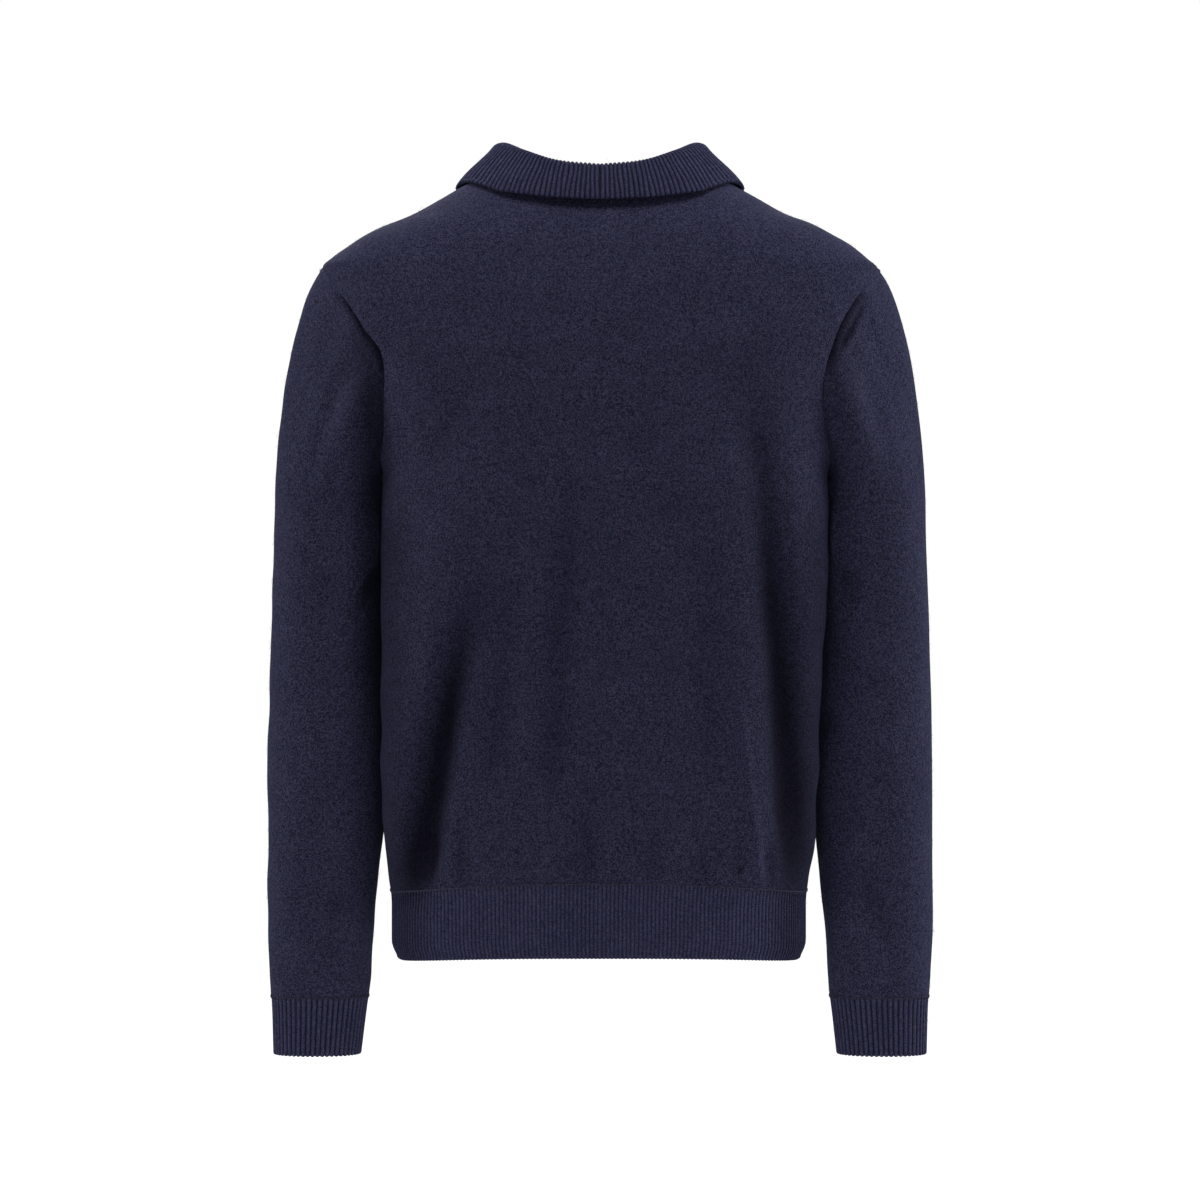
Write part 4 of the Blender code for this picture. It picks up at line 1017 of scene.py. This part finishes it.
# Points along half the neckline, from the centre back to the centre front.
def neckline(side):
    half, steps = bodyForm["neckHalf"], (60, 80)
    x = np.concatenate([np.linspace(0, half, steps[0]), np.linspace(half, collarRib["endX"], steps[1])[1:]])
    atBack, inX = np.arange(len(x)) < steps[0], np.minimum(x, collarRib["insideX"])
    z = np.where(atBack, topZ(inX, 1), topZ(inX, -1))
    back, front = formPoint(side * x, z, 1), formPoint(side * x, z, -1)
    front[..., 1] -= np.where(side > 0, frontLift(x), 0.0)
    points = np.where(atBack[:, None], back, front)
    points[steps[0] - 1] = (side * half, 0.0, 0.0)
    return points


def alongLine(points, shares):
    run = runAlong(points)
    return np.stack([np.interp(shares * run[-1], run, points[:, k]) for k in range(3)], -1)


# How far the front pieces reach out under the collar.
def coverAt(points):
    x = points[..., 0]
    over = np.where(x > 0, ease((0.066 - x) / 0.040), ease((x + 0.045) / 0.024))
    return np.where(points[..., 1] > 0, 0.0, (bodyForm["bandLift"] + frontBand["relief"]) * over)


# Grid of the collar's hidden side: up the stand, over the fold, down to its edge.
def collarHalf(side, shares):
    def place(part, share):
        shape = collarRib["shape"]
        x, y, z = (curve(shape["along"], shape[part + axis], share, True) for axis in "XYZ")
        return np.stack([side * x, y, z], -1)

    def around(step):
        return np.minimum(1, shares + step), np.maximum(0, shares - step)

    line, (after, before) = neckline(side), around(0.01)
    run = unit(alongLine(line, after) - alongLine(line, before))
    up = np.array([0, 0, 1.0])
    upright = unit(up - run * run[..., 2:])
    seam = alongLine(line, shares) + upright * 0.0004
    crest, edge, (after, before) = place("fold", shares), place("edge", shares), around(0.02)
    tangent = place("fold", after) - place("fold", before)
    out = unit(np.stack([tangent[..., 1], -tangent[..., 0], 0 * shares], -1))
    out[np.sum(out * crest * np.array([1, 1, 0]), axis=-1) < 0] *= -1
    out[shares == 0] = (0, 1, 0)
    peak, width = collarRib["peak"]
    wider = 1 + collarRib["rounder"] * np.exp(-(((shares - peak) / width) ** 2))
    radius = (collarRib["foldGap"] / 2 * wider)[:, None]
    angles = np.radians(np.linspace(*collarRib["foldArc"]))
    turn = angles[:, None, None]
    arc = crest - up * (radius + collarRib["foldSink"]) + (out * np.cos(turn) + up * np.sin(turn)) * radius
    tall = np.linalg.norm(arc[0] - seam, axis=-1)[:, None]
    rise, fallWay = (unit(out * np.sin(a) - up * np.cos(a)) for a in (angles[0], angles[-1]))
    upStand = np.linspace(0, 1, collarRib["standRows"])[:-1]
    stand = hermite(seam, upright * tall, arc[0], rise * tall, upStand)
    deep = np.linalg.norm(edge - arc[-1], axis=-1)[:, None]
    drop = unit(edge - arc[-1] - out * 0.010) * deep
    down = evenSteps(*collarRib["fall"])[5:]
    fall = hermite(arc[-1], fallWay * deep * 0.8, edge, drop, down)
    sideways = unit(np.gradient(edge, axis=0))  # the ribs swing to and fro on their way down
    swing = np.sum((edge - arc[-1]) * sideways, axis=-1) * (ease(down) - down)[:, None] * collarRib["swing"]
    sway = collarRib["sway"] * np.sin(down * 5.0)[:, None]
    swing = swing + sway * np.sin(shares * 91.0) * np.sin(shares * 37.0 + side)
    fall = fall + sideways * (swing * ease((0.98 - shares) / 0.2) * ease(shares / 0.04))[..., None]
    for again in range(6):
        distance, way = outsideOf(fall)
        fall = fall + way * np.maximum(0, collarRib["clear"] + coverAt(fall) - distance)[..., None]
    return np.concatenate([stand, arc, fall])


perSide = collarRib["ribs"] * collarRib["perRib"]
shares = np.linspace(0, 1, perSide + 1)
grid = np.concatenate([collarHalf(-1, shares)[:, ::-1], collarHalf(1, shares)[:, 1:]], axis=1)
normals = unit(np.cross(np.gradient(grid, axis=1), np.gradient(grid, axis=0)))
normals = normals if normals[22, perSide, 2] > 0 else -normals
crest = ribCrest(grid.shape[1], collarRib["perRib"])
toEdge = np.linalg.norm(grid - grid[-1], axis=-1)
lift = collarRib["relief"] * (crest[None] - 1) * mix(0.35, 1.0, ease(toEdge / 0.0045))
outer = grid + normals * (collarRib["thick"] + collarRib["relief"] * 0.4 + lift)[..., None]
outer = scallop(outer, collarRib["perRib"], collarRib["scallop"])
# Painted shade in the collar's grooves and a painted highlight on its crests.
shade = collarRib["shade"] * crest**1.4
collar = clothShell("poloCollar", outer, normals, collarRib["thick"], rib, crest=shade, normals=normals)
print("collar made")


def newTree(name, *inputs):
    tree = bpy.data.node_groups.new(name, "GeometryNodeTree")
    shared = (("Length", "Float"), ("Thickness", "Float"), ("Seed", "Int"), ("Look", "Material"))
    for label, kind in (("Geometry", "Geometry"), *shared, *inputs):
        tree.interface.new_socket(label, in_out="INPUT", socket_type="NodeSocket" + kind)
    tree.interface.new_socket("Geometry", in_out="OUTPUT", socket_type="NodeSocketGeometry")
    return tree, node(tree, "NodeGroupInput").outputs, node(tree, "NodeGroupOutput")


def named(tree, label, kind):
    return node(tree, "GeometryNodeInputNamedAttribute", {"Name": label}, data_type=kind).outputs[0]


def vector(tree, **parts):
    return node(tree, "ShaderNodeCombineXYZ", parts).outputs[0]


def randomValue(tree, low, high, seed, shift):
    made = node(tree, "FunctionNodeRandomValue", {"Seed": plus(tree, seed, float(shift))})
    made.inputs[2].default_value, made.inputs[3].default_value = low, high
    return made.outputs[1]


# A bent thread that lies along X, thick in its middle.
def threadShape(tree, given, bend, lift, sides, steps=4):
    half = times(tree, given["Length"], 0.5)
    start, end = (vector(tree, X=times(tree, half, way)) for way in (-1.0, 1.0))
    middle = vector(tree, Y=times(tree, half, bend), Z=times(tree, half, lift))
    values = {"Resolution": steps, "Start": start, "Middle": middle, "End": end}
    line = node(tree, "GeometryNodeCurveQuadraticBezier", values).outputs[0]
    factor = node(tree, "GeometryNodeSplineParameter").outputs["Factor"]
    swell = times(tree, factor, math(tree, "SUBTRACT", 1.0, factor))
    swell = math(tree, "POWER", times(tree, math(tree, "MAXIMUM", swell, 0.02), 4.0), 0.5)
    values = {"Resolution": sides, "Radius": times(tree, given["Thickness"], 0.5)}
    ring = node(tree, "GeometryNodeCurvePrimitiveCircle", values).outputs[0]
    values = {"Curve": line, "Profile Curve": ring, "Scale": swell, "Fill Caps": True}
    return node(tree, "GeometryNodeCurveToMesh", values).outputs[0]


# Lays the thread at every point and makes it real.
def layThread(tree, given, end, points, thread, turn, scale):
    values = {"Points": points, "Instance": thread, "Rotation": turn, "Scale": scale}
    made = node(tree, "GeometryNodeInstanceOnPoints", values)
    made = node(tree, "GeometryNodeRealizeInstances", {"Geometry": made.outputs[0]})
    made = node(tree, "GeometryNodeSetShadeSmooth", {"Geometry": made.outputs[0]})
    made = node(tree, "GeometryNodeSetMaterial", {"Geometry": made.outputs[0], "Material": given["Look"]})
    tree.links.new(made.outputs[0], end.inputs[0])
    return tree


# Stitches at points, each along its "way" with its back to "out".
def stitchTree():
    tree, given, end = newTree("layStitches")
    way, out = (named(tree, label, "FLOAT_VECTOR") for label in ("way", "out"))
    values = {"Primary Axis": way, "Secondary Axis": out}
    turn = node(tree, "FunctionNodeAxesToRotation", values, primary_axis="X", secondary_axis="Z").outputs[0]
    thread = threadShape(tree, given, 0.0, 0.55, 6)
    scale = randomValue(tree, 0.92, 1.1, given["Seed"], 0)
    return layThread(tree, given, end, given["Geometry"], thread, turn, scale)


# Loose fibres that lie on the outer side of a piece, turned every way and a little lifted.
def fuzzTree():
    tree, given, end = newTree("scatterFibres", ("Density", "Float"))
    # Fewer loose fibres where shade is painted into the cloth.
    bare = math(tree, "SUBTRACT", 1.0, times(tree, named(tree, "hollow", "FLOAT"), 1.5))
    bare = math(tree, "MAXIMUM", bare, 0.0)  # few catch the light in a crease
    density = times(tree, given["Density"], bare)
    outside, seed = named(tree, "outerSide", "BOOLEAN"), given["Seed"]
    values = {"Mesh": given["Geometry"], "Selection": outside, "Density": density, "Seed": seed}
    spread = node(tree, "GeometryNodeDistributePointsOnFaces", values).outputs
    tiltX, tiltY = (randomValue(tree, -0.45, 0.45, seed, k) for k in (1, 2))
    spin = vector(tree, X=tiltX, Y=tiltY, Z=randomValue(tree, 0.0, tau, seed, 3))
    by = node(tree, "FunctionNodeEulerToRotation", {"Euler": spin}).outputs[0]
    values = {"Rotation": spread["Rotation"], "Rotate By": by}
    turn = node(tree, "FunctionNodeRotateRotation", values, rotation_space="LOCAL").outputs[0]
    thread, scale = threadShape(tree, given, 0.5, 0.30, 3), randomValue(tree, 0.4, 1.3, seed, 4)
    return layThread(tree, given, end, spread["Points"], thread, turn, scale)


# Runs a tree on a mesh and keeps the result as a plain mesh.
def grown(name, mesh, tree, values):
    seed = intoScene(name, mesh)
    modifier = seed.modifiers.new(name, "NODES")
    modifier.node_group = tree
    for socket in tree.interface.items_tree:
        if socket.name in values and socket.in_out == "INPUT":
            modifier[socket.identifier] = values[socket.name]
    graph = bpy.context.evaluated_depsgraph_get()
    result = bpy.data.meshes.new_from_object(seed.evaluated_get(graph))
    bpy.data.objects.remove(seed)
    result.name = name
    return intoScene(name, result)


stitches, fibres = stitchTree(), fuzzTree()

seamStitch = {
    "seed": 5,
    # how far in from the ribs and down from the seam, length and thickness
    "Ticks": (0.0004, 0.0020, 0.0030, 0.0010),  # the loop at the top of each rib
    "Chain": (0.0005, 0.0011, 0.0040, 0.0009),  # the links along the seam
    "tone": (0.026, 0.027, 0.050),
}


def stitchesAt(name, points, ways, outs, length, thickness, look):
    mesh = bpy.data.meshes.new(name)
    mesh.from_pydata(np.asarray(points).tolist(), [], [])
    for label, vectors in (("way", ways), ("out", outs)):
        setValues(mesh, label, "FLOAT_VECTOR", np.broadcast_to(vectors, (len(points), 3)))
    values = {"Length": length, "Thickness": thickness, "Seed": seamStitch["seed"], "Look": look}
    return grown(name, mesh, stitches, values)


def threadMaterial(name, tone, rough):
    look, tree, shader = newLook(name)
    low, high = (tuple(v * k for v in tone) for k in (0.55, 1.5))
    colour = ramp(tree, noise(tree, objectPlace(tree), 420.0), (0.35, low), (0.65, high))
    feed(tree, shader, {"Base Color": colour, "Roughness": rough, "Specular IOR Level": 0.25})
    return look


linkWool = threadMaterial("linkWool", seamStitch["tone"], 0.9)
seams = []
for name, (line, outs) in zip(("leftCuffSeam", "rightCuffSeam", "waistSeam"), seamLines):
    closed = name != "waistSeam"
    after = np.roll(line, -1, 0) if closed else line[1:]
    before, outMiddle = (line, outs) if closed else (line[:-1], outs[:-1])
    between, along = (before + after) / 2, unit(after - before)
    up = unit(np.cross(outs, unit(np.gradient(line, axis=0))))
    for part, spots, ways, backs in (("Ticks", line, up, outs), ("Chain", between, along, outMiddle)):
        inward, down, length, thickness = seamStitch[part]
        spots = spots - backs * inward - np.array([0, 0, down])
        seams.append(stitchesAt(name + part, spots, ways, backs, length, thickness, linkWool))
print("linked seams stitched")

buttonMake = {
    # share of the radius and of the height, from the middle of the foot round the rim
    "rim": (
        (0.0, 0.0), (0.84, 0.0), (0.96, 0.16), (1.0, 0.42), (0.985, 0.70), (0.93, 0.90),
        (0.86, 1.0), (0.79, 0.97), (0.72, 0.82), (0.64, 0.70), (0.40, 0.62), (0.0, 0.60),
    ),
    "turns": 40,
    "holeCircle": 0.0019,
    "holeRadius": 0.00085,
    "colour": (0.0075, 0.0085, 0.0175),
    "vein": (0.018, 0.019, 0.032),
    "rough": 0.40,
    "thread": (0.0036, 0.00075),  # length and thickness
    "threadUp": 0.58,  # share of the button's height
    "threadApart": 0.0003,
    "threadTone": (0.020, 0.021, 0.040),
    "slot": (0.0098, 0.0032, 0.0013),  # half a buttonhole's length, its shift and half its width
    "slotStitches": 40,
    "slotStitch": (0.0024, 0.0008),  # length and thickness
}


def resinMaterial():
    look, tree, shader = newLook("navyResin")
    place = objectPlace(tree)
    cloud = noise(tree, place, 160.0, 4.0, 0.5, 1.5)
    colour = ramp(tree, cloud, (0.40, buttonMake["colour"]), (0.72, buttonMake["vein"]))
    rough = plus(tree, times(tree, noise(tree, place, 2200.0, 1.0), 0.14), buttonMake["rough"] - 0.07)
    feed(tree, shader, {"Base Color": colour, "Roughness": rough})
    return look


def buttonTemplate(radius, height):
    bm = bmesh.new()
    rings = []
    for share, up in buttonMake["rim"]:
        count = buttonMake["turns"] if share else 1
        turn = tau * np.arange(count) / count
        ring = [(radius * share * np.cos(t), radius * share * np.sin(t), height * up) for t in turn]
        rings.append([bm.verts.new(point) for point in ring])
    for low, high in zip(rings, rings[1:]):
        for k in range(buttonMake["turns"]):
            a, b = low[k % len(low)], low[(k + 1) % len(low)]
            c, d = high[(k + 1) % len(high)], high[k % len(high)]
            bm.faces.new([v for v in dict.fromkeys((a, b, c, d))])
    bmesh.ops.recalc_face_normals(bm, faces=bm.faces)
    cutters = bmesh.new()
    hole = buttonMake["holeRadius"]
    for k in range(4):
        turn = pi / 4 + k * pi / 2
        place = Matrix.Translation(Vector((np.cos(turn), np.sin(turn), 0)) * buttonMake["holeCircle"])
        sizes = {"segments": 14, "radius1": hole, "radius2": hole, "depth": height * 4}
        bmesh.ops.create_cone(cutters, cap_ends=True, matrix=place, **sizes)
    made = []
    for name, shape in (("buttonBlank", bm), ("holeCutter", cutters)):
        mesh = bpy.data.meshes.new(name)
        shape.to_mesh(mesh)
        shape.free()
        made.append(intoScene(name, mesh))
    blank, cutter = made
    cut = blank.modifiers.new("holes", "BOOLEAN")
    cut.object, cut.operation, cut.solver = cutter, "DIFFERENCE", "EXACT"
    result = bpy.data.meshes.new_from_object(blank.evaluated_get(bpy.context.evaluated_depsgraph_get()))
    for used in made:
        bpy.data.objects.remove(used)
    result.shade_smooth()
    result.set_sharp_from_angle(angle=0.75)
    result.materials.clear()
    result.materials.append(resin)
    return result


resin = resinMaterial()
buttonNames = sorted(name for name in frame["nodes"] if name.startswith("button_") and name[-1].isdigit())
buttons, threads, holeRings = [], [], []
for k, nodeName in enumerate(buttonNames):
    source = frame["nodes"][nodeName].data
    corners = np.zeros(len(source.vertices) * 3)
    source.vertices.foreach_get("co", corners)
    corners = corners.reshape(-1, 3)
    centre = (corners.min(0) + corners.max(0)) / 2
    facing = np.linalg.svd(corners - corners.mean(0))[2][2]
    facing = facing if facing[1] < 0 else -facing
    deep = (corners - centre) @ facing
    height, radius = np.ptp(deep), np.ptp(corners[:, 0]) / 2
    foot = centre + facing * deep.min()
    turn = Vector((0, 0, 1)).rotation_difference(Vector(facing)).to_matrix().to_4x4()
    if not k:
        template = buttonTemplate(radius, height)
    mesh = template.copy()
    mesh.transform(Matrix.Translation(Vector(foot)) @ turn)
    buttons.append((intoScene(f"button{k + 1}", mesh), nodeName))
    across = np.array(turn.to_3x3() @ Vector((1, 0, 0)))
    upward = np.cross(facing, across)
    reach, apart = buttonMake["holeCircle"] * 0.7071, buttonMake["threadApart"]
    for x in (-reach - apart, -reach + apart, reach - apart, reach + apart):
        threads.append((foot + facing * height * buttonMake["threadUp"] + across * x, upward, facing))
    slot, shift, halfWide = buttonMake["slot"]
    for t in np.linspace(0, 1, buttonMake["slotStitches"], endpoint=False):  # out on top, back below
        run = t * 4 * slot
        x = (run if run < 2 * slot else 4 * slot - run) - slot + shift
        out = np.array([0.0, 0.0, 1.0 if run < 2 * slot else -1.0])
        holeRings.append((centre + across * x + out * halfWide, out, facing))

sewingThread = threadMaterial("sewingThread", buttonMake["threadTone"], 0.6)
spots, ways, outs = np.array(threads).transpose(1, 0, 2)
buttonThreads = stitchesAt("buttonThreads", spots, ways, outs, *buttonMake["thread"], sewingThread)
spots, ways, outs = np.array(holeRings).transpose(1, 0, 2)
level = formPoint(spots[:, 0], spots[:, 2], -1)[:, 1] - bodyForm["bandLift"] - frontBand["relief"]
spots[:, 1] = level - 0.00005
sizes = buttonMake["slotStitch"]
buttonholeStitches = stitchesAt("buttonholeStitches", spots, ways, outs, *sizes, sewingThread)
print("buttons sewn on:", len(buttons))

fuzz = {
    "length": 0.0085,
    "thickness": 0.00013,
    "density": {"felted_knit": 6500.0, "rib_knit": 3000.0},  # fibres to a square metre
    "seed": 17,
    "tone": (0.060, 0.060, 0.092),
}
looseFibre = threadMaterial("looseFibre", fuzz["tone"], 0.85)
feltPieces = [backPanel, leftFront, rightFront, sleeves[1], sleeves[-1]]


def slotOf(piece):
    return "felted_knit" if piece in feltPieces else "rib_knit"


def worn(piece, nodeName=None):
    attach(piece, "root")
    if nodeName:
        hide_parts(nodeName)


for k, piece in enumerate(feltPieces + [collar, waistband, cuffs[1], cuffs[-1]]):
    values = {"Density": fuzz["density"][slotOf(piece)], "Seed": fuzz["seed"] + k, "Look": looseFibre}
    values.update(Length=fuzz["length"], Thickness=fuzz["thickness"])
    worn(grown(piece.name + "Fuzz", piece.data.copy(), fibres, values))
print("loose fibres scattered")

for piece in seams:
    worn(piece)
for piece, nodeName in buttons:
    worn(piece, nodeName)
for piece in (buttonThreads, buttonholeStitches):
    worn(piece)

sheets = [
    (backPanel, "back_panel", panelCloth["backFlat"], panelCloth["backArea"]),
    (leftFront, "left_front", panelCloth["frontFlat"], panelCloth["frontArea"]),
    (rightFront, "right_front", panelCloth["frontFlat"], panelCloth["frontArea"]),
    (sleeves[1], "left_sleeve", sleeveCloth["flat"], sleeveCloth["area"]),
    (sleeves[-1], "right_sleeve", sleeveCloth["flat"], sleeveCloth["area"]),
    (cuffs[1], "left_cuff", cuffRib["flat"], None),
    (cuffs[-1], "right_cuff", cuffRib["flat"], None),
    (waistband, "waistband", waistRib["flat"], None),
    (bands["buttonBand"], "button_band", frontBand["flat"], None),
    (bands["buttonholeBand"], "buttonhole_band", frontBand["flat"], None),
    (collar, "collar", collarRib["flat"], collarRib["area"]),
]
for piece, nodeName, flat, area in sheets:
    worn(piece, nodeName)
print("pieces placed on the body")

studio = {
    "distance": 3.4,
    "height": -0.371,
    "viewWide": 1.032,  # metres across the picture at the cardigan's middle
    "floorZ": -1.45,
    "floorHalf": 9,
    "floorTone": 0.86,
    "aim": (0.0, 0.0, -0.35),
    "lights": (  # name, place, size, power
        ("topLight", (0.0, 0.5, 2.4), 1.6, 65.5),
        ("lowLight", (0.0, 2.6, -1.2), 1.6, 31.0),
        ("rightRim", (-2.4, -0.4, 0.2), 1.0, 48.0),
        ("leftRim", (2.4, -0.4, 0.2), 1.0, 33.0),
        ("farLight", (0.5, -2.4, 1.7), 1.8, 60.0),
    ),
    "world": 0.09,
}

cameraData = bpy.data.cameras.new("photoCamera")
cameraData.sensor_width = 36.0
cameraData.lens = 36 * studio["distance"] / studio["viewWide"]
camera = intoScene("photoCamera", cameraData)
camera.location = (0.0, studio["distance"], studio["height"])
camera.rotation_euler = (radians(90), 0.0, radians(180))
bpy.context.scene.camera = camera

for name, place, size, power in studio["lights"]:
    data = bpy.data.lights.new(name, "AREA")
    data.shape, data.size, data.energy = "SQUARE", size, power
    made = intoScene(name, data)
    made.location = place
    made.rotation_euler = (Vector(studio["aim"]) - Vector(place)).to_track_quat("-Z", "Y").to_euler()

world = bpy.data.worlds.new("studioWorld")
world.use_nodes = True
tree = world.node_tree
lit = (studio["world"], studio["world"], studio["world"] * 1.02, 1.0)
ray = tree.nodes.new("ShaderNodeLightPath").outputs["Is Camera Ray"]
colour = blendColour(tree, ray, lit, (1.0, 1.0, 1.0))
feed(tree, tree.nodes["Background"], {"Color": colour, "Strength": 1.0})
bpy.context.scene.world = world
bpy.context.scene.view_settings.view_transform = "Standard"

floorMesh = bpy.data.meshes.new("floor")
wide, level = studio["floorHalf"], studio["floorZ"]
floorCorners = [(x * wide, y * wide, level) for x, y in ((-1, -1), (1, -1), (1, 1), (-1, 1))]
floorMesh.from_pydata(floorCorners, [], [(0, 1, 2, 3)])
floorLook, tree, shader = newLook("paleFloor")
seen = tree.nodes.new("ShaderNodeLightPath").outputs["Is Camera Ray"]
feed(tree, shader, {"Base Color": (studio["floorTone"],) * 3, "Roughness": 0.9})
feed(tree, shader, {"Emission Color": (1.0, 1.0, 1.0), "Emission Strength": seen})
floorMesh.materials.append(floorLook)
floor = intoScene("floor", floorMesh)

triangles = {}
for made in bpy.data.objects:
    if made.type == "MESH" and not made.hide_render and made is not floor:
        made.data.calc_loop_triangles()
        triangles[made.name] = len(made.data.loop_triangles)
print("triangles:", sum(triangles.values()), triangles)
